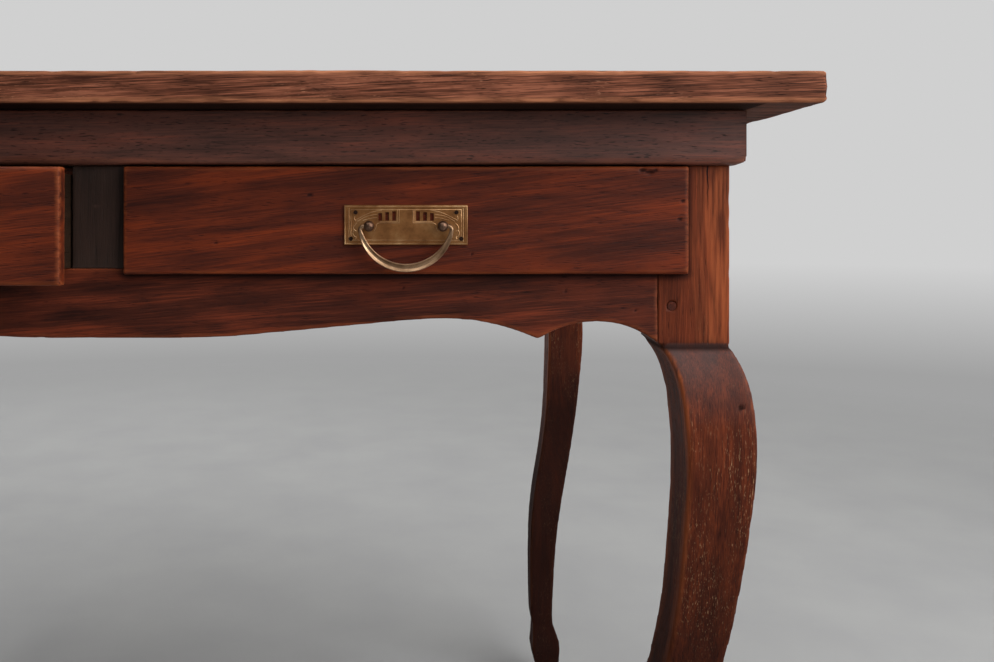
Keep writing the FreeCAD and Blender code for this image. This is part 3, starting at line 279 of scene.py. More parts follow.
def oak(node, axis, seed, look, crack=None):
    """Stained oak with growth rings, pores, uneven stain, worn edges and perhaps a drying crack."""
    facts = LOOKS[look]
    shade, middle, warm, pore, worn, fleck = facts["colours"]
    dark_share, light_share, line_share = facts["dashes"]
    fine_share, dark_patch, warm_patch, spread = facts["weights"]
    net = Net(f"{node}_oak")
    spot, parts = grain_spot(net, axis, seed)
    low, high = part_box(node)
    centre = {letter: (low[i] + high[i]) / 2 * PER_METRE for i, letter in enumerate("XYZ")}
    across = []
    for letter, part, reach in zip(GRAIN_ORDER[axis][1:], parts[1:], facts["heart"]):
        start = centre[letter] + reach
        drift = net.sum("MULTIPLY", parts[0], facts["slope"])
        across.append(net.sum("ADD", net.sum("SUBTRACT", part, start), drift))
    sway = net.sum("SUBTRACT", net.noise(spot, GRAIN_SIZES["wave"]), 0.5)
    wave = net.sum("MULTIPLY", sway, RING_BEND)
    bent = net.put(
        "ShaderNodeCombineXYZ", {1: net.sum("ADD", across[0], wave), 2: across[1]}
    ).outputs[0]
    turns = net.sum("MULTIPLY", net.length(bent), 2 * math.pi / facts["ring"])
    ring = net.remap(net.sum("SINE", turns), -1.0, 1.0)
    fall = net.sum("MULTIPLY", parts[0], -facts["slope"])
    lean = net.vector("ADD", spot, net.put("ShaderNodeCombineXYZ", {1: fall}).outputs[0])
    other = net.vector("ADD", lean, OTHER_SHIFT)
    streak = net.noise(lean, GRAIN_SIZES["streak"], 4.0)
    flame = net.noise(lean, GRAIN_SIZES["flame"], 5.0)
    blotch = net.noise(lean, GRAIN_SIZES["blotch"], 5.0)
    glow = net.noise(other, GRAIN_SIZES["glow"], 4.0)
    level = net.sum("MULTIPLY", flame, 1 - fine_share)
    level = net.sum("ADD", level, net.sum("MULTIPLY", streak, fine_share))
    colour = net.ramp(level, ((0.5 - spread, shade), (0.5, middle), (0.5 + spread, warm)))
    colour = net.mix(net.remap(blotch, *GRAIN_STARTS["blotch"], 0.0, dark_patch), colour, shade)
    colour = net.mix(net.remap(glow, *GRAIN_STARTS["glow"], 0.0, warm_patch), colour, warm)
    lines = net.sum("ADD", net.sum("MULTIPLY", ring, 0.5), streak)
    colour = net.mix(net.remap(lines, *GRAIN_STARTS["lines"], 0.0, line_share), colour, pore)
    dash = net.remap(net.noise(spot, facts.get("pores", PORES), 1.5), *GRAIN_STARTS["pores"])
    pores = net.sum("MULTIPLY", dash, net.remap(ring, 0.0, 1.0, 0.4, 1.0))
    colour = net.mix(net.sum("MULTIPLY", pores, dark_share), colour, pore)
    light = net.remap(net.noise(other, GRAIN_SIZES["light"], 2.0), *GRAIN_STARTS["light"])
    light = net.sum("MULTIPLY", light, light_share)
    patch = net.remap(net.noise(other, GRAIN_SIZES["patch"], 2.0), *GRAIN_STARTS["patch"])
    if look == "leg":
        light = net.sum("MULTIPLY", light, net.attribute("flecks"))
        # Painted sheen on the knees' tops, in a grey tone.
        colour = net.mix(net.attribute("knee_sheen"), colour, KNEE_SHEEN_TONE)
    colour = net.mix(net.sum("MULTIPLY", light, patch), colour, fleck)
    uneven = net.remap(net.noise(spot, GRAIN_SIZES["rub"], 6.0), *GRAIN_STARTS["rub"], *RUB_RANGE)
    rub = net.sum("MULTIPLY", net.attribute("wear"), uneven)
    colour = net.mix(net.remap(rub, *GRAIN_STARTS["worn"], 0.0, WORN_SHARE), colour, worn)
    # Dirt and painted shade, in the pore colour.
    colour = net.mix(net.sum("MULTIPLY", net.attribute("grime_and_shade"), GRIME_AND_SHADE_SHARE), colour, pore)
    if crack:
        colour = net.mix(split(net, crack), colour, pore)
    net.wire(colour, net.shader.inputs["Base Color"])
    dull = ROUGHNESS.get(look, USUAL_ROUGHNESS)
    rough = net.remap(streak, *GRAIN_STARTS["rough"], dull, dull + ROUGHNESS_SPAN)
    rough = net.sum("ADD", rough, net.sum("MULTIPLY", pores, PORE_ROUGHNESS))
    dirt_and_shade = net.sum("MULTIPLY", net.attribute("grime_and_shade"), GRIME_AND_SHADE_ROUGHNESS)
    net.wire(net.sum("ADD", rough, dirt_and_shade, clamp=True), net.shader.inputs["Roughness"])
    net.shader.inputs["Specular IOR Level"].default_value = facts["sheen"]
    height = net.sum("SUBTRACT", net.sum("MULTIPLY", streak, 0.5), pores)
    net.bump(height, WOOD_BUMP, WOOD_RELIEF)
    return net.material


CRACK_SWAY = 12 * MM
CRACK_WANDER = 3 * MM
CRACK_SOFT = 0.15 * MM
CRACK_LEAST = 0.05 * MM
FRONT_FACING = 0.5


def split(net, crack):
    """Mask of a drying crack on a front face, widest at its top end."""
    middle, foot, head, width = crack
    apart = net.put("ShaderNodeSeparateXYZ", {0: net.place()}).outputs
    along = net.put("ShaderNodeCombineXYZ", {2: apart["Z"]}).outputs[0]
    sway = net.sum("SUBTRACT", net.noise(along, (CRACK_SWAY,) * 3, 2.0), 0.5)
    wander = net.sum("MULTIPLY", sway, CRACK_WANDER)
    off = net.sum("ABSOLUTE", net.sum("SUBTRACT", net.sum("SUBTRACT", apart["X"], middle), wander))
    half = net.remap(apart["Z"], foot, head, 0.0, width / 2)
    inside = net.remap(net.sum("SUBTRACT", off, half), -CRACK_SOFT, CRACK_SOFT, 1.0, 0.0)
    normal = net.put("ShaderNodeNewGeometry", {}).outputs["Normal"]
    facing = net.put("ShaderNodeSeparateXYZ", {0: normal}).outputs["Y"]
    inside = net.sum("MULTIPLY", inside, net.sum("LESS_THAN", facing, -FRONT_FACING))
    return net.sum("MULTIPLY", inside, net.sum("GREATER_THAN", half, CRACK_LEAST))


# Sizes of the tones on brass in millimetres, and the depth of its fine marks.
BRASS_BROAD = (14.0, 14.0, 14.0)
BRASS_FINE = (1.2, 1.2, 1.2)
BRASS_RELIEF = 0.2 * MM
BRASS_BUMP = 0.12


def brass(name, bright, dull, dark):
    """Old brass with a brown skin that is rubbed bright in places."""
    net = Net(name)
    spot = net.spot()
    broad = net.noise(spot, BRASS_BROAD, 4.0)
    fine = net.noise(spot, BRASS_FINE, 4.0)
    colour = net.ramp(broad, ((0.34, dark), (0.5, dull), (0.66, bright)))
    colour = net.mix(net.remap(fine, 0.55, 0.75, 0.0, 0.5), colour, dark)
    net.wire(colour, net.shader.inputs["Base Color"])
    net.shader.inputs["Metallic"].default_value = 1.0
    net.wire(net.remap(broad, 0.3, 0.7, 0.5, 0.34), net.shader.inputs["Roughness"])
    net.bump(fine, BRASS_BUMP, BRASS_RELIEF)
    return net.material


def plain(name, first, second, size, roughness, metallic=0.0, sheen=0.5):
    """A surface in two tones, with specks of a size in millimetres."""
    net = Net(name)
    speck = net.noise(net.spot(), (size, size, size), 5.0)
    net.wire(net.mix(net.remap(speck, 0.35, 0.65), first, second), net.shader.inputs["Base Color"])
    net.shader.inputs["Metallic"].default_value = metallic
    net.shader.inputs["Roughness"].default_value = roughness
    net.shader.inputs["Specular IOR Level"].default_value = sheen
    return net.material


# Fixed numbers that scatter the lumps' chances: per seed, per cell and for the whole.
LUMP_SHIFT = np.array((17.3, 5.9, 11.1))
LUMP_KEY = np.array((12.9898, 78.233, 37.719))
LUMP_SCATTER = 43758.5453


def lumps(points, sizes, seed):
    """Smooth noise from 0 to 1 at points, with lumps of the given sizes."""
    spots = points / np.asarray(sizes) + seed * LUMP_SHIFT
    base = np.floor(spots)
    part = spots - base
    part = part * part * (3 - 2 * part)
    total = np.zeros(len(points))
    for corner in itertools.product((0, 1), repeat=3):
        key = (base + corner) @ LUMP_KEY
        chance = np.modf(np.abs(np.sin(key)) * LUMP_SCATTER)[0]
        weight = np.where(np.array(corner), part, 1 - part).prod(axis=1)
        total += weight * chance
    return total


BLUR_SHARE = 0.6


class Skin:
    """Points, normals and neighbours of a dense mesh."""

    def __init__(self, mesh):
        self.mesh = mesh
        count = len(mesh.vertices)
        self.points = np.empty(count * 3)
        mesh.vertices.foreach_get("co", self.points)
        self.points = self.points.reshape(-1, 3)
        edges = np.empty(len(mesh.edges) * 2, dtype=np.int64)
        mesh.edges.foreach_get("vertices", edges)
        self.edges = edges.reshape(-1, 2)
        self.degree = np.maximum(np.bincount(edges, minlength=count), 1)

    def around(self, values):
        """The mean of each point's neighbours."""
        first, second = self.edges.T
        wide = values.reshape(len(values), -1)
        total = np.zeros_like(wide)
        for column in range(wide.shape[1]):
            total[:, column] = np.bincount(first, wide[second, column], len(wide))
            total[:, column] += np.bincount(second, wide[first, column], len(wide))
        return (total / self.degree[:, None]).reshape(values.shape)

    def blur(self, values, rounds):
        for _ in range(rounds):
            values = (1 - BLUR_SHARE) * values + BLUR_SHARE * self.around(values)
        return values

    def normals(self):
        self.put_back()
        facing = np.empty(len(self.points) * 3)
        self.mesh.vertices.foreach_get("normal", facing)
        return facing.reshape(-1, 3)

    def put_back(self):
        self.mesh.vertices.foreach_set("co", self.points.ravel())
        self.mesh.update()

    def keep(self, name, values):
        held = self.mesh.attributes.new(name, "FLOAT", "POINT")
        held.data.foreach_set("value", np.clip(values, 0, 1))


def dense(node, voxel):
    """A dense even copy of a node's mesh, as a piece of its own."""
    piece = bpy.data.objects.new(f"{node}_worn", NODES[node].data.copy())
    bpy.context.scene.collection.objects.link(piece)
    remesh = piece.modifiers.new("voxels", "REMESH")
    remesh.mode = "VOXEL"
    remesh.voxel_size = voxel
    solid = piece.evaluated_get(bpy.context.evaluated_depsgraph_get())
    mesh = bpy.data.meshes.new_from_object(solid)
    piece.modifiers.clear()
    piece.data = mesh
    mesh.materials.clear()
    mesh.shade_smooth()
    return piece


# Pushes that smooth the voxels without shrinking the piece, how sharp an edge counts as a full
# ridge, and the sizes and depths of chips and of waves in the faces.
SMOOTHING = (0.5, -0.48)
FULL_RIDGE = 0.09
RIDGE_ROUNDS = 3
RUB_ROUNDS = 2
CHIP_SIZE = (9 * MM,) * 3
CHIP_START = 0.55
CHIP_DEPTH = 1.4 * MM
WAVE_SIZE = (60 * MM,) * 3
WAVE_DEPTH = 0.35 * MM


def aged(node, voxel, axis, seed, look, wear=1.0, carve=None, crack=None):
    """A node as old wood: edges rounded and chipped by use, faces a little uneven."""
    piece = dense(node, voxel)
    skin = Skin(piece.data)
    for push in SMOOTHING:
        skin.points = skin.points + push * (skin.around(skin.points) - skin.points)
    facing = skin.normals()
    ridge = np.einsum("ij,ij->i", skin.points - skin.around(skin.points), facing) / voxel
    ridge = skin.blur(ridge, RIDGE_ROUNDS) / FULL_RIDGE
    edge = np.clip(ridge, 0, 1)
    chance = np.clip(lumps(skin.points, CHIP_SIZE, seed) - CHIP_START, 0, 1)
    chip = edge * chance * CHIP_DEPTH * wear
    wave = lumps(skin.points, WAVE_SIZE, seed + 1) * WAVE_DEPTH
    skin.points = skin.points - facing * (wave + chip)[:, None]
    rub = skin.blur(edge, RUB_ROUNDS) * wear
    # Hollows darker: painted shade.
    grime_and_shade = np.clip(-ridge, 0, 1)
    if carve:
        rub, grime_and_shade = carve(skin, facing, rub, grime_and_shade)
    skin.put_back()
    skin.keep("wear", rub)
    skin.keep("grime_and_shade", grime_and_shade)
    finish(piece, node, oak(node, axis, seed, look, crack))


def finish(piece, node, material):
    """Give a piece its material and let it stand for its node."""
    piece.data.materials.append(material)
    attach(piece, BODY_OF[node])
    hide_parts(node)


def steps(length, fine, spacing):
    """Places along a length, close together near both ends."""
    count = max(int((length - 2 * fine[-1]) / spacing), 1) + 1
    inner = np.linspace(fine[-1], length - fine[-1], count)
    return np.concatenate((fine[:-1], inner, length - np.array(fine[-2::-1])))


def shell(sizes):
    """Points and faces of a box with the given places along its axes."""
    counts = [len(places) for places in sizes]
    index = np.full(counts, -1)
    spots = np.stack(np.meshgrid(*(np.arange(count) for count in counts), indexing="ij"), axis=-1)
    outer = np.any((spots == 0) | (spots == np.array(counts) - 1), axis=-1)
    index[outer] = np.arange(outer.sum())
    points = np.stack([places[spots[outer][:, axis]] for axis, places in enumerate(sizes)], axis=1)
    faces = []
    for axis in range(3):
        for end, turn in ((0, -1), (-1, 1)):
            grid = np.take(index, end, axis=axis)
            if axis == 1:
                turn = -turn
            corners = (grid[:-1, :-1], grid[1:, :-1], grid[1:, 1:], grid[:-1, 1:])
            quads = np.stack(corners, axis=-1).reshape(-1, 4)
            faces.append(quads[:, ::turn])
    return points, np.concatenate(faces)


# A board's steps from its edges, the rounding of its edges and joints, its wear, its dark joints
# and the painted shade under it.
PLANK_STEPS = np.array((0, 0.3, 0.7, 1.2, 1.8, 2.6, 3.6, 5.0)) * MM
PLANK_ROUND = 2.6 * MM
JOINT_ROUND = 0.5 * MM
END_WEAR = 0.8
END_REACH = 14 * MM
PLANK_SPACING = (2 * MM, 8 * MM, 4 * MM)
UNEVEN_SIZE = (22 * MM, 14 * MM, 9 * MM)
CHIPPED_SIZE = (7 * MM, 5 * MM, 5 * MM)
# Shares of the rounding that every edge has, that comes and goes, and that chips take.
ROUND_SHARES = (0.35, 0.5, 1.3)
OUTER_REACH = 6 * MM
DIP_SIZE = (90 * MM, 50 * MM, MM)
DIP_DEPTH = 0.5 * MM
WORN_REACH = 4 * MM
WORN_START = 1.25
PLANK_WEAR = 0.85
SEAM_REACH = 1.0 * MM
SHADE_START = 2 * MM
SHADE_REACH = 5 * MM
OVERHANG_SHADE = 0.05


def plank(node, seed):
    """A board of the top: outer edges worn round, joints to the next boards crisp."""
    low, high = (np.array(corner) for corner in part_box(node))
    boards = [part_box(name) for name in NODES if name.startswith("top_board")]
    edges = [corner[1] for box in boards for corner in box]
    size = high - low
    local, faces = shell([steps(size[axis], PLANK_STEPS, PLANK_SPACING[axis]) for axis in range(3)])
    points = local + low
    joint = np.where(local[:, 1] < size[1] / 2, low[1] > min(edges) + MM, high[1] < max(edges) - MM)
    side = np.minimum(local, size - local)
    rim = np.where(joint, side[:, 0], np.minimum(side[:, 0], side[:, 1]))
    least, waving, chips = ROUND_SHARES
    uneven = lumps(points, UNEVEN_SIZE, seed)
    chipped = lumps(points, CHIPPED_SIZE, seed + 1)
    worn = PLANK_ROUND * (least + waving * uneven + chips * chipped**3)
    worn *= 1 + END_WEAR * np.clip(1 - side[:, 0] / END_REACH, 0, 1)
    outside = np.clip(2 - rim / OUTER_REACH, 0, 1)
    flat = JOINT_ROUND + (worn - JOINT_ROUND) * outside
    radius = np.stack((worn, np.where(joint, JOINT_ROUND, worn), flat), axis=1)
    core = np.clip(local, radius, size - radius)
    away = (local - core) / radius
    reach = np.linalg.norm(away, axis=1, keepdims=True)
    local = core + np.where(reach > 0, away / np.maximum(reach, 1e-9), 0) * radius
    points = local + low
    dips = lumps(points, DIP_SIZE, seed) * DIP_DEPTH
    points[:, 2] -= np.where(points[:, 2] > high[2] - MM, dips, 0)
    mesh = bpy.data.meshes.new(f"{node}_worn")
    mesh.from_pydata(points.tolist(), [], faces.tolist())
    mesh.shade_smooth()
    skin = Skin(mesh)
    edge = np.clip(WORN_START - np.maximum(rim, side[:, 2]) / WORN_REACH, 0, 1)
    skin.keep("wear", edge * PLANK_WEAR)
    seam = np.where(joint, np.clip(1 - side[:, 1] / SEAM_REACH, 0, 1), 0)
    # Painted shade on the underside: full between the frieze and the front edge, faint under the
    # end overhangs.
    inside = np.abs(points[:, 0]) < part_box("frieze_front")[1][0]
    inward = np.clip((rim - SHADE_START) / SHADE_REACH, 0, 1)
    below = (local[:, 2] < MM) * inward * np.where(inside, 1, OVERHANG_SHADE)
    skin.keep("grime_and_shade", np.maximum(seam, below))
    piece = bpy.data.objects.new(f"{node}_worn", mesh)
    bpy.context.scene.collection.objects.link(piece)
    finish(piece, node, oak(node, "X", seed, "top"))


def at_pixel(x, y, plane):
    """Where a pixel of the photograph meets a plane square to the view, as X and Z."""
    scale = (plane - CAMERA_SPOT[1]) / FOCAL_LENGTH
    return (
        CAMERA_SPOT[0] + (x - VANISHING_POINT[0]) * scale,
        CAMERA_SPOT[2] - (y - VANISHING_POINT[1]) * scale,
    )


def pixels_of(points):
    """Where points show in the photograph."""
    scale = FOCAL_LENGTH / (points[:, 1] - CAMERA_SPOT[1])
    return (
        VANISHING_POINT[0] + (points[:, 0] - CAMERA_SPOT[0]) * scale,
        VANISHING_POINT[1] - (points[:, 2] - CAMERA_SPOT[2]) * scale,
    )


# Painted shadow around the closed drawer's front: how far it reaches, and its strength at the edge.
LIP_SHADOW = 4.6 * MM
LIP_START = 1.25


def lip_shadow(points):
    """Painted shadow on the frame close to the edges of the closed drawer's front."""
    low, high = (np.array(corner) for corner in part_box("right_drawer_front"))
    away = np.maximum(np.maximum(low - points, points - high), 0)[:, (0, 2)]
    dirt_and_shade = np.clip(LIP_START - np.linalg.norm(away, axis=1) / LIP_SHADOW, 0, 1)
    return np.where(points[:, 1] < 0, dirt_and_shade, 0)


def reaches(skin, marks):
    """How far points lie inside each mark on a front face, 1 at its middle, and its strength."""
    plane = skin.points[:, 1].min()
    for x, y, wide, high, strength in marks:
        across, up = at_pixel(x, y, plane)
        aside = (skin.points[:, 0] - across) / wide
        above = (skin.points[:, 2] - up) / high
        yield np.clip(1 - (np.hypot(aside, above) / MM) ** 2, 0, 1), strength


def dented(marks, around_lips=0):
    """Carve dents into a front face: pixel, half width, half height and depth in millimetres."""

    def carve(skin, facing, rub, grime_and_shade):
        for inside, depth in reaches(skin, marks):
            hit = np.where(facing[:, 1] < -FRONT_FACING, inside, 0)
            skin.points[:, 1] += hit * depth * MM
            grime_and_shade = np.maximum(grime_and_shade, np.clip(hit * 2, 0, 1))
        # Painted shadow around the closed drawer's front, where around_lips asks for it.
        return rub, np.maximum(grime_and_shade, lip_shadow(skin.points) * around_lips)

    return carve


def rubbed(marks):
    """Rub spots of a front face: pixel, half width, half height in millimetres and strength."""

    def carve(skin, facing, rub, grime_and_shade):
        for inside, strength in reaches(skin, marks):
            rub = np.maximum(rub, inside * strength)
        return rub, grime_and_shade

    return carve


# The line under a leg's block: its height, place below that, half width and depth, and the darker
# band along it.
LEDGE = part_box("front_apron")[0][2] - MM
SCORE_DROP = 1.2 * MM
SCORE_REACH = 3 * MM
SCORE_DEPTH = 0.9 * MM
SCORE_LEVEL = 0.8
SCORE_DARK_DROP = 1.5 * MM
SCORE_DARK_REACH = 3.5 * MM
SCORE_DARK = (1.2, 0.9)
# Painted shade on the lower leg between two heights, the whole leg below its block a little darker,
# and painted shade on the back legs' fronts.
LOW_LEG = (0.52, 0.3)
LOW_LEG_SHADE = 0.85
LEG_DARKENING = 0.15
BACK_LEG_SHADE = 0.35
# Wear of a leg's edges, of its inner edge, and of its block towards the outer side.
LEG_RUB = 0.35
ARRIS_ROUNDS = 30
ARRIS_GAIN = 3.2
ARRIS_FACING = 2
BLOCK_FADE = (2, 0.4)
BLOCK_FADE_SHARE = 0.6
FRONT_GAIN = 1.5
# Painted sheen below the ledge: its lumps, how they vary it, how far down it goes and how strong it
# is.
KNEE_SHEEN_SIZE = (12 * MM, 12 * MM, 40 * MM)
KNEE_SHEEN_RANGE = (0.6, 0.6)
KNEE_SHEEN_SEED = 3
KNEE_SHEEN_DROP = 58 * MM
KNEE_SHEEN_SHARE = 0.6
# Heights between which light flecks come in, and how many there are above.
FLECK_HEIGHTS = (0.55, 0.49)
LEAST_FLECKS = 0.12
# A dent on the right knee: its pixel, its radius in pixels and its depth.
KNEE_MARK = (741, 408)
KNEE_MARK_RADIUS = 3.2
KNEE_MARK_DEPTH = 1.2 * MM


def ledged(skin, facing, rub, grime_and_shade):
    """Carve a leg's ledge line and knee mark; set wear, dirt, painted shade and painted sheen."""
    drop = LEDGE - skin.points[:, 2]
    lower = drop > 0
    score = np.clip(1 - np.abs(drop - SCORE_DROP) / SCORE_REACH, 0, 1)
    level = np.abs(facing[:, 2]) < SCORE_LEVEL
    skin.points -= facing * np.where(level, score * SCORE_DEPTH, 0)[:, None]
    gain, most = SCORE_DARK
    dirt_and_shade = np.clip(1 - np.abs(drop - SCORE_DARK_DROP) / SCORE_DARK_REACH, 0, 1) * gain
    low = np.clip((LOW_LEG[0] - skin.points[:, 2]) / (LOW_LEG[0] - LOW_LEG[1]), 0, 1)
    back = skin.points[:, 1].mean() > 0
    # Painted shade on the back legs' fronts, under the table.
    under = np.clip(-facing[:, 1], 0, 1) * lower * BACK_LEG_SHADE * back
    grime_and_shade = np.maximum(np.maximum(grime_and_shade, np.clip(dirt_and_shade, 0, most)), under)
    # Painted shade growing towards the floor, and the whole leg below its block a little darker.
    grime_and_shade = grime_and_shade + LOW_LEG_SHADE * low + LEG_DARKENING * lower
    # Painted shadow beside the closed drawer's front.
    grime_and_shade = np.maximum(grime_and_shade, lip_shadow(skin.points))
    front = np.clip(-facing[:, 1] * FRONT_GAIN, 0, 1)
    # Painted sheen on the front of the knees just below the ledge.
    least, span = KNEE_SHEEN_RANGE
    knee_sheen = np.clip(1 - drop / KNEE_SHEEN_DROP, 0, 1) * lower * front * KNEE_SHEEN_SHARE
    skin.keep("knee_sheen", knee_sheen * (least + span * lumps(skin.points, KNEE_SHEEN_SIZE, KNEE_SHEEN_SEED)))
    fall = (FLECK_HEIGHTS[0] - skin.points[:, 2]) / (FLECK_HEIGHTS[0] - FLECK_HEIGHTS[1])
    skin.keep("flecks", np.clip(fall, LEAST_FLECKS, 1))
    across, down = pixels_of(skin.points)
    reach = np.hypot(across - KNEE_MARK[0], down - KNEE_MARK[1]) / KNEE_MARK_RADIUS
    hit = np.clip(1 - reach**2, 0, 1) * (front > 0)
    skin.points -= facing * (hit * KNEE_MARK_DEPTH)[:, None]
    grime_and_shade = np.maximum(grime_and_shade, np.clip(hit * 2, 0, 1))
    hand = np.sign(skin.points[:, 0].mean())
    inner = np.clip(-hand * facing[:, 0] * ARRIS_FACING, 0, 1) * lower
    wide = np.clip(skin.blur(rub, ARRIS_ROUNDS) * ARRIS_GAIN, 0, 1)
    block = skin.points[drop < 0, 0]
    middle = (block.min() + block.max()) / 2
    outer = (skin.points[:, 0] - middle) * hand / (block.max() - block.min())
    slope, start = BLOCK_FADE
    faded = np.clip(outer * slope + start, 0, 1) * (drop < 0) * front * BLOCK_FADE_SHARE
    return np.maximum(np.maximum(rub * LEG_RUB, wide * inner), faded), np.clip(grime_and_shade, 0, 1)


def paint(node, material):
    """Give a node that keeps its shape its material."""
    mesh = NODES[node].data
    mesh.materials.clear()
    mesh.materials.append(material)


# Sizes of the voxels of worn pieces, by how closely the view shows them.
VERY_FINE = 1.1 * MM
FINE = 1.5 * MM
MEDIUM = 2 * MM
COARSE = 3 * MM
# Marks in the photograph: pixel, half width, half height and depth in millimetres.
DRAWER_MARKS = (
    (643, 170, 3.0, 1.6, 1.6), (650, 172, 4.0, 1.8, 1.8), (656, 170, 1.8, 1.4, 1.0),
    (216, 243, 1.5, 1.2, 0.9), (310, 195, 2.4, 1.4, 0.5), (683, 201, 1.5, 1.5, 0.8),
    (680, 219, 1.8, 1.4, 0.8), (472, 254, 1.2, 1.2, 0.8),
)
APRON_MARKS = (
    (404, 287, 1.8, 0.9, 0.8), (489, 291, 1.1, 1.0, 0.8), (566, 291, 1.1, 1.0, 0.8),
    (636, 310, 1.3, 1.2, 1.0),
)
# The rubbed spots have a strength in place of the depth.
STILE_RUBS = ((97, 206, 4.5, 2.0, 0.6), (88, 213, 6.0, 1.6, 0.25), (104, 191, 1.2, 7.0, 0.2))
CRACK_PIXELS = ((708.5, 214), (707, 163))
CRACK_WIDTH = 1.3 * MM


def wood():
    """All wooden pieces."""
    for index in range(1, 6):
        plank(f"top_board_{index}", index)
    aged("frieze_front", FINE, "X", 11, "frieze", 0.7)
    aged("frieze_back", COARSE, "X", 12, "frieze", 0.7)
    aged("frieze_left", COARSE, "Y", 13, "frieze", 0.7)
    aged("frieze_right", COARSE, "Y", 14, "frieze", 0.7)
    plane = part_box("front_apron")[0][1]
    foot, head = (at_pixel(*pixel, plane) for pixel in CRACK_PIXELS)
    crack = ((foot[0] + head[0]) / 2, foot[1], head[1], CRACK_WIDTH)
    for seed, leg in enumerate(("front_right", "front_left", "back_right", "back_left"), start=21):
        own_crack = crack if leg == "front_right" else None
        aged(f"leg_{leg}", MEDIUM, "Z", seed, "leg", 1.0, ledged, own_crack)
    aged("front_apron", FINE, "X", 36, "apron", 0.8, dented(APRON_MARKS, 1))
    aged("back_apron", COARSE, "X", 32, "apron", 0.8)
    aged("side_apron_left", COARSE, "Y", 33, "apron", 0.8)
    aged("side_apron_right", COARSE, "Y", 34, "apron", 0.8)
    aged("drawer_divider", FINE, "Z", 35, "stile", 0.4, rubbed(STILE_RUBS))
    aged("right_drawer_front", VERY_FINE, "X", 41, "drawer", 0.8, dented(DRAWER_MARKS))
    aged("left_drawer_front", VERY_FINE, "X", 42, "drawer", 0.8)
    paint("frame_pegs", oak("frame_pegs", "Y", 51, "apron"))
    paint("front_top_rail", oak("front_top_rail", "X", 52, "bare"))
    for seed, node in enumerate(sorted(NODES), start=60):
        if SLOT_OF[node] == "inner_wood":
            low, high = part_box(node)
            longest = max(range(3), key=lambda i: high[i] - low[i])
            look = "side" if "drawer_side" in node else "bare"
            paint(node, oak(node, "XYZ"[longest], seed, look))


# Cross section of the bail's band as shares of half its height and half its thickness: a dished
# face between two rims, and a round back.
BAND_SHARES = (
    (-1.0, 0.1), (-0.97, -0.6), (-0.88, -1.0), (-0.74, -0.9), (-0.5, -0.3), (-0.25, 0.0),
    (0.0, 0.1), (0.25, 0.0), (0.5, -0.3), (0.74, -0.9), (0.88, -1.0), (0.97, -0.6),
    (1.0, 0.1), (0.85, 0.66), (0.5, 0.94), (0.0, 1.0), (-0.5, 0.94), (-0.85, 0.66),
)
# How many of these points, from the first on, lie on the rims and the dished face.
FACE_COUNT = 13
BAIL_HALF = 34 * MM
BAIL_DROP = 32.7 * MM
BAIL_WIRE = 1.5 * MM
BAIL_BAND = 6 * MM
BAIL_ELBOW = 2.8 * MM
PIVOT_INNER = 25.35 * MM
# How fast the round ends widen into the band, and the sections along the band and at an elbow.
BAND_SWELL = 1.6
BAND_COUNT = 61
ELBOW_COUNT = 9


def arc_centre(reach, top, bottom):
    """Height of the middle of a circle over x = 0 through a side point and the lowest point."""
    return (reach**2 + top**2 - bottom**2) / (2 * (top - bottom))


def bail_sections():
    """Middle, outward direction and half height of the bail's sections, for its right half."""
    top = -BAIL_ELBOW
    circles = []
    outside = (BAIL_HALF, -BAIL_DROP)
    inside = (BAIL_HALF - 2 * BAIL_WIRE, BAIL_BAND - BAIL_DROP)
    for reach, bottom in (outside, inside):
        middle = arc_centre(reach, top, bottom)
        circles.append((middle, middle - bottom, math.atan2(reach, middle - top)))

    def on_circle(circle, share):
        middle, radius, turn = circle
        return np.array((radius * math.sin(turn * share), middle - radius * math.cos(turn * share)))

    rows = []
    for step in range(BAND_COUNT // 2 + 1):
        share = step / (BAND_COUNT // 2)
        ends = [on_circle(circle, share) for circle in circles]
        out = ends[0] - ends[1]
        rows.append(((ends[0] + ends[1]) / 2, out / np.linalg.norm(out), np.linalg.norm(out) / 2))
    hub = np.array((BAIL_HALF - BAIL_WIRE - BAIL_ELBOW, top))
    for step in range(1, ELBOW_COUNT + 1):
        turn = math.pi / 2 * step / ELBOW_COUNT
        out = np.array((math.cos(turn), math.sin(turn)))
        rows.append((hub + BAIL_ELBOW * out, out, BAIL_WIRE))
    rows.append((np.array((PIVOT_INNER, 0.0)), np.array((0.0, 1.0)), BAIL_WIRE))
    return rows


def rings(row_count, side_count):
    """Faces between closed rows of points."""
    faces = []
    for row in range(row_count - 1):
        first, second = row * side_count, (row + 1) * side_count
        for side in range(side_count):
            following = (side + 1) % side_count
            faces.append((first + side, second + side, second + following, first + following))
    return faces


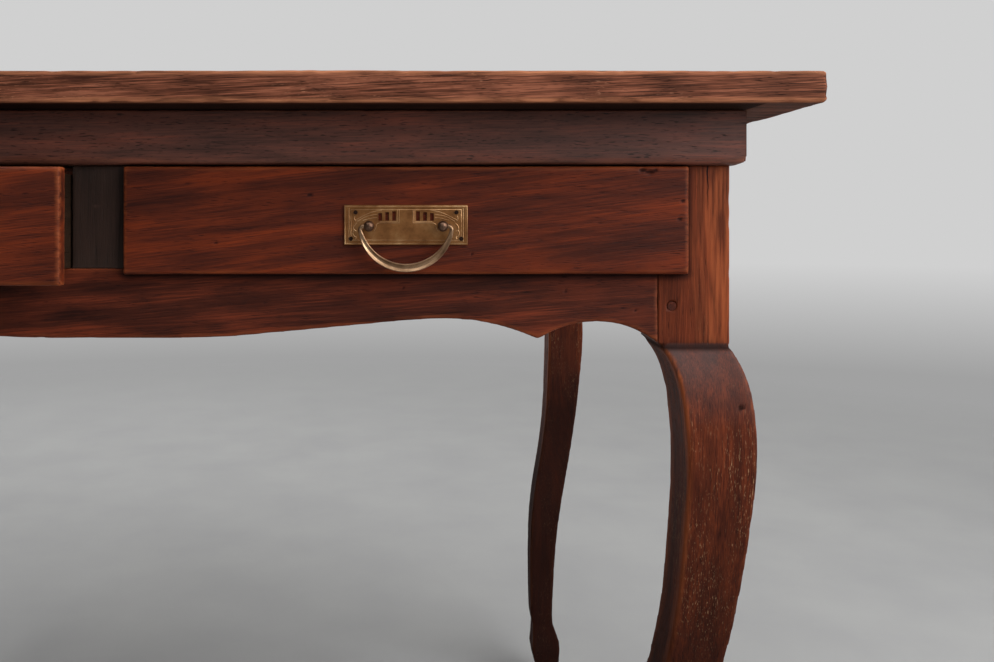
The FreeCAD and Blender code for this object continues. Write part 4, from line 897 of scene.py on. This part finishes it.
def bail(hand, material):
    """A bail with a dished band that thins to round ends."""
    pivot = PIVOT_OF[f"{hand}_bail_hinge"]
    half = bail_sections()
    flip = np.array((-1, 1))
    rows = [(m * flip, o * flip, h) for m, o, h in half[:0:-1]] + half
    band = np.array(BAND_SHARES)
    back_count = len(band) - FACE_COUNT
    turns = np.concatenate(
        (np.linspace(-math.pi, 0, FACE_COUNT), np.linspace(0, math.pi, back_count + 2)[1:-1])
    )
    ring = np.stack((np.cos(turns), np.sin(turns)), axis=1)
    points = []
    for middle, out, height in rows:
        wide = np.clip((height - BAIL_WIRE) / (BAIL_BAND / 2 - BAIL_WIRE) * BAND_SWELL, 0, 1)
        shares = ring + (band - ring) * wide
        flat = middle + out * (shares[:, :1] * height)
        points.append(np.stack((flat[:, 0], shares[:, 1] * BAIL_WIRE, flat[:, 1]), axis=1) + pivot)
    count = len(band)
    faces = rings(len(rows), count)
    faces.append(tuple(range(count)))
    faces.append(tuple(range((len(rows) - 1) * count, len(rows) * count))[::-1])
    mesh = bpy.data.meshes.new(f"{hand}_bail_cast")
    mesh.from_pydata(np.concatenate(points).tolist(), [], faces)
    mesh.shade_smooth()
    piece = bpy.data.objects.new(f"{hand}_bail_cast", mesh)
    bpy.context.scene.collection.objects.link(piece)
    finish(piece, f"{hand}_handle_bail", material)


# Raised lines on the handle plate, in millimetres from its middle, for its right half.
PLATE_FRAME = ((39.6, 11.0), (39.6, -11.0))
PLATE_EDGE = ((41.0, 12.0), (41.0, -12.0))
PLATE_RIM = ((43.8, 13.4), (43.8, -13.4))
SLOT_FRAME = ((5.0, 10.8), (5.0, 1.4), (19.4, 1.4))
SLOT_FRAME_INNER = ((6.2, 10.8), (6.2, 2.3), (18.8, 2.3))
LEAF_LINES = (
    ((17.5, 10.6), (24.0, 9.6), (30.5, 6.6), (36.5, 3.4)),
    ((20.6, 7.6), (26.0, 6.9), (31.0, 4.9), (35.0, 2.6)),
    ((20.6, 5.2), (24.5, 4.9), (28.0, 3.9), (31.0, 3.2)),
    ((19.4, 1.4), (21.6, 0.6), (21.4, -2.0), (23.0, -4.4)),
    ((35.2, 1.4), (37.6, -0.6), (37.8, -3.4), (35.6, -4.6)),
    ((37.4, -3.6), (38.6, -6.2), (37.0, -8.6), (35.4, -8.0), (36.4, -10.2)),
    ((36.6, 6.4), (38.0, 4.4), (36.0, 2.8)),
)
LINE_RADIUS = 0.32 * MM
PLATE_RECESS = 0.5 * MM
PLATE_BEVEL = 0.3 * MM


def mirrored(points):
    """The left half's copy of a line."""
    return tuple((-x, z) for x, z in points)


def ribs(hand, material):
    """The raised lines of a handle plate."""
    low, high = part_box(f"{hand}_handle_plate")
    middle = [(low[axis] + high[axis]) / 2 for axis in range(3)]
    face = low[1] + PLATE_RECESS
    wire = bpy.data.curves.new(f"{hand}_plate_lines", "CURVE")
    wire.dimensions = "3D"
    wire.bevel_depth = LINE_RADIUS
    wire.bevel_resolution = 2
    wire.use_fill_caps = True
    lines = []
    for right, depth in ((PLATE_FRAME, face), (PLATE_RIM, low[1])):
        lines.append((right + mirrored(right)[::-1], "POLY", depth, True))
    for right in (PLATE_EDGE, SLOT_FRAME, SLOT_FRAME_INNER):
        lines.extend((line, "POLY", face, False) for line in (right, mirrored(right)))
    for right in LEAF_LINES:
        lines.extend((line, "NURBS", face, False) for line in (right, mirrored(right)))
    for points, kind, depth, closed in lines:
        line = wire.splines.new(kind)
        line.points.add(len(points) - 1)
        for point, (x, z) in zip(line.points, points):
            point.co = (middle[0] + x * MM, depth, middle[2] + z * MM, 1.0)
        line.use_cyclic_u = closed
        if kind == "NURBS":
            line.order_u = 3
            line.use_endpoint_u = True
    holder = bpy.data.objects.new(f"{hand}_plate_lines", wire)
    bpy.context.scene.collection.objects.link(holder)
    solid = holder.evaluated_get(bpy.context.evaluated_depsgraph_get())
    mesh = bpy.data.meshes.new_from_object(solid)
    bpy.data.objects.remove(holder)
    mesh.materials.clear()
    mesh.materials.append(material)
    mesh.shade_smooth()
    piece = bpy.data.objects.new(f"{hand}_plate_ornament", mesh)
    bpy.context.scene.collection.objects.link(piece)
    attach(piece, f"{hand}_drawer")


def crisp(node, width):
    """Break a node's sharp edges."""
    bevel = NODES[node].modifiers.new("edges", "BEVEL")
    bevel.width = width
    bevel.segments = 2
    bevel.limit_method = "ANGLE"


PIN_SPECKS = 1.5
STEEL_SPECKS = 2.0


def metal():
    """Handles, nails and screws."""
    plate = brass("plate_brass", tone(182, 134, 88), tone(155, 107, 65), tone(118, 77, 45))
    line = brass("line_brass", tone(214, 176, 132), tone(184, 142, 100), tone(140, 102, 68))
    band = brass("bail_brass", tone(172, 140, 110), tone(140, 110, 84), tone(100, 75, 56))
    post = brass("post_brass", tone(132, 104, 86), tone(96, 72, 58), tone(60, 44, 36))
    iron = plain("pin_iron", tone(24, 13, 8), tone(40, 24, 15), PIN_SPECKS, 0.7, sheen=0.08)
    steel = plain("dull_steel", tone(120, 116, 110), tone(92, 74, 58), STEEL_SPECKS, 0.5, 0.9)
    for hand in ("right", "left"):
        paint(f"{hand}_handle_plate", plate)
        crisp(f"{hand}_handle_plate", PLATE_BEVEL)
        bail(hand, band)
        ribs(hand, line)
        paint(f"{hand}_handle_posts", post)
        paint(f"{hand}_handle_pins", iron)
        paint(f"{hand}_handle_nuts", steel)
        paint(f"{hand}_drawer_nails", steel)
    paint("block_screws", steel)


STUDIO_MIDDLE = (0.0, -2.4)
STUDIO_RADIUS = 6.0
WALL_HEIGHT = 4.5
COVE_RADIUS = 0.5
COVE_STEPS = 16
STUDIO_SIDES = 128
# Heights between which the floor turns into the wall, distances from the table between which the
# backdrop takes its even tone, and that tone on the floor and the wall.
WALL_BLEND = (0.02, 0.45)
FLOOR_BLEND = (1.6, 3.2)
FAR_FLOOR = tone(161, 161, 161)
FAR_WALL = tone(208, 208, 208)
# The floor's two tones with the size of its clouds in metres, and the wall's tone, under the lamps.
FLOOR_TONES = (tone(143, 143, 143), tone(150, 150, 149))
CLOUD_SIZE = (0.2, 0.2, 0.2)
CLOUD_STARTS = (0.3, 0.7)
WALL_TONE = tone(224, 224, 224)
FLOOR_ROUGHNESS = 0.9


def studio():
    """A pale round floor that runs up into a plain wall on all sides."""
    profile = []
    for step in range(COVE_STEPS + 1):
        turn = math.pi / 2 * step / COVE_STEPS
        reach = STUDIO_RADIUS - COVE_RADIUS + COVE_RADIUS * math.sin(turn)
        profile.append((reach, COVE_RADIUS - COVE_RADIUS * math.cos(turn)))
    profile.append((STUDIO_RADIUS, WALL_HEIGHT))
    turns = [2 * math.pi * side / STUDIO_SIDES for side in range(STUDIO_SIDES)]
    points = []
    for reach, height in profile:
        for turn in turns:
            across = STUDIO_MIDDLE[0] + reach * math.cos(turn)
            points.append((across, STUDIO_MIDDLE[1] + reach * math.sin(turn), height))
    faces = [tuple(range(STUDIO_SIDES)), *rings(len(profile), STUDIO_SIDES)]
    mesh = bpy.data.meshes.new("backdrop")
    mesh.from_pydata(points, [], faces)
    mesh.shade_smooth()
    floor = bpy.data.objects.new("backdrop", mesh)
    bpy.context.scene.collection.objects.link(floor)
    mesh.materials.append(backdrop())


def backdrop():
    """Pale grey floor and a lighter wall, with no edge between them."""
    net = Net("pale_backdrop")
    place = net.place()
    height = net.put("ShaderNodeSeparateXYZ", {0: place}).outputs["Z"]
    wall = net.remap(height, *WALL_BLEND)
    cloud = net.remap(net.noise(place, CLOUD_SIZE, 6.0), *CLOUD_STARTS)
    floor = net.mix(cloud, *FLOOR_TONES)
    net.wire(net.mix(wall, floor, WALL_TONE), net.shader.inputs["Base Color"])
    net.shader.inputs["Roughness"].default_value = FLOOR_ROUGHNESS
    away = net.length(net.vector("MULTIPLY", place, (1.0, 1.0, 0.0)))
    far = net.sum("MAXIMUM", wall, net.remap(away, *FLOOR_BLEND))
    seen = net.put("ShaderNodeLightPath", {}).outputs["Is Camera Ray"]
    glow = net.put("ShaderNodeEmission", {"Color": net.mix(wall, FAR_FLOOR, FAR_WALL)}).outputs[0]
    wires = {0: net.sum("MULTIPLY", far, seen), 1: net.shader.outputs[0], 2: glow}
    both = net.put("ShaderNodeMixShader", wires).outputs[0]
    net.wire(both, net.tree.nodes["Material Output"].inputs["Surface"])
    return net.material


def lamp(name, spot, target, width, height, power):
    """A soft rectangular lamp that faces a point."""
    light = bpy.data.lights.new(name, "AREA")
    light.shape = "RECTANGLE"
    light.size = width
    light.size_y = height
    light.energy = power
    holder = bpy.data.objects.new(name, light)
    bpy.context.scene.collection.objects.link(holder)
    holder.location = spot
    holder.visible_camera = False
    away = np.array(spot) - np.array(target)
    flat = math.hypot(away[0], away[1])
    holder.rotation_euler = (math.atan2(flat, away[2]), 0, math.atan2(away[0], -away[1]))


# Lamps: name, place and the point it faces in metres, width, height, and power in watts.
LAMPS = (
    ("key", (2.0, -1.7, 1.6), (0.3, -0.3, 0.6), 2.2, 2.0, 78),
    ("fill", (-1.0, -3.2, 1.6), (0.0, -0.3, 0.6), 2.0, 2.0, 4),
    ("above", (0.4, -0.9, 3.3), (0.3, -0.2, 0.0), 4.0, 3.0, 95),
    ("back", (-1.7, 2.6, 1.8), (0.0, 0.0, 0.6), 2.0, 1.6, 32),
    ("wall", (0.5, 1.6, 3.2), (0.5, 3.6, 1.2), 5.0, 0.6, 40),
)
WORLD_STRENGTH = 0.12


def lights():
    """Soft light from the right, the front, above and behind, and an even world."""
    for facts in LAMPS:
        lamp(*facts)
    world = bpy.data.worlds.new("even_light")
    bpy.context.scene.world = world
    world.use_nodes = True
    background = world.node_tree.nodes["Background"]
    background.inputs["Color"].default_value = (1.0, 1.0, 1.0, 1.0)
    background.inputs["Strength"].default_value = WORLD_STRENGTH


def camera():
    """The photograph's view: level and square to the front."""
    lens = bpy.data.cameras.new("view")
    lens.sensor_width = SENSOR_WIDTH
    lens.lens = FOCAL_LENGTH / IMAGE_SIZE[0] * SENSOR_WIDTH
    lens.shift_x = (IMAGE_SIZE[0] / 2 - VANISHING_POINT[0]) / IMAGE_SIZE[0]
    lens.shift_y = (VANISHING_POINT[1] - IMAGE_SIZE[1] / 2) / IMAGE_SIZE[0]
    holder = bpy.data.objects.new("view", lens)
    bpy.context.scene.collection.objects.link(holder)
    holder.location = CAMERA_SPOT
    holder.rotation_euler = (math.pi / 2, 0, 0)
    bpy.context.scene.camera = holder


bpy.context.scene.view_settings.view_transform = "Standard"
camera()
studio()
lights()
wood()
metal()
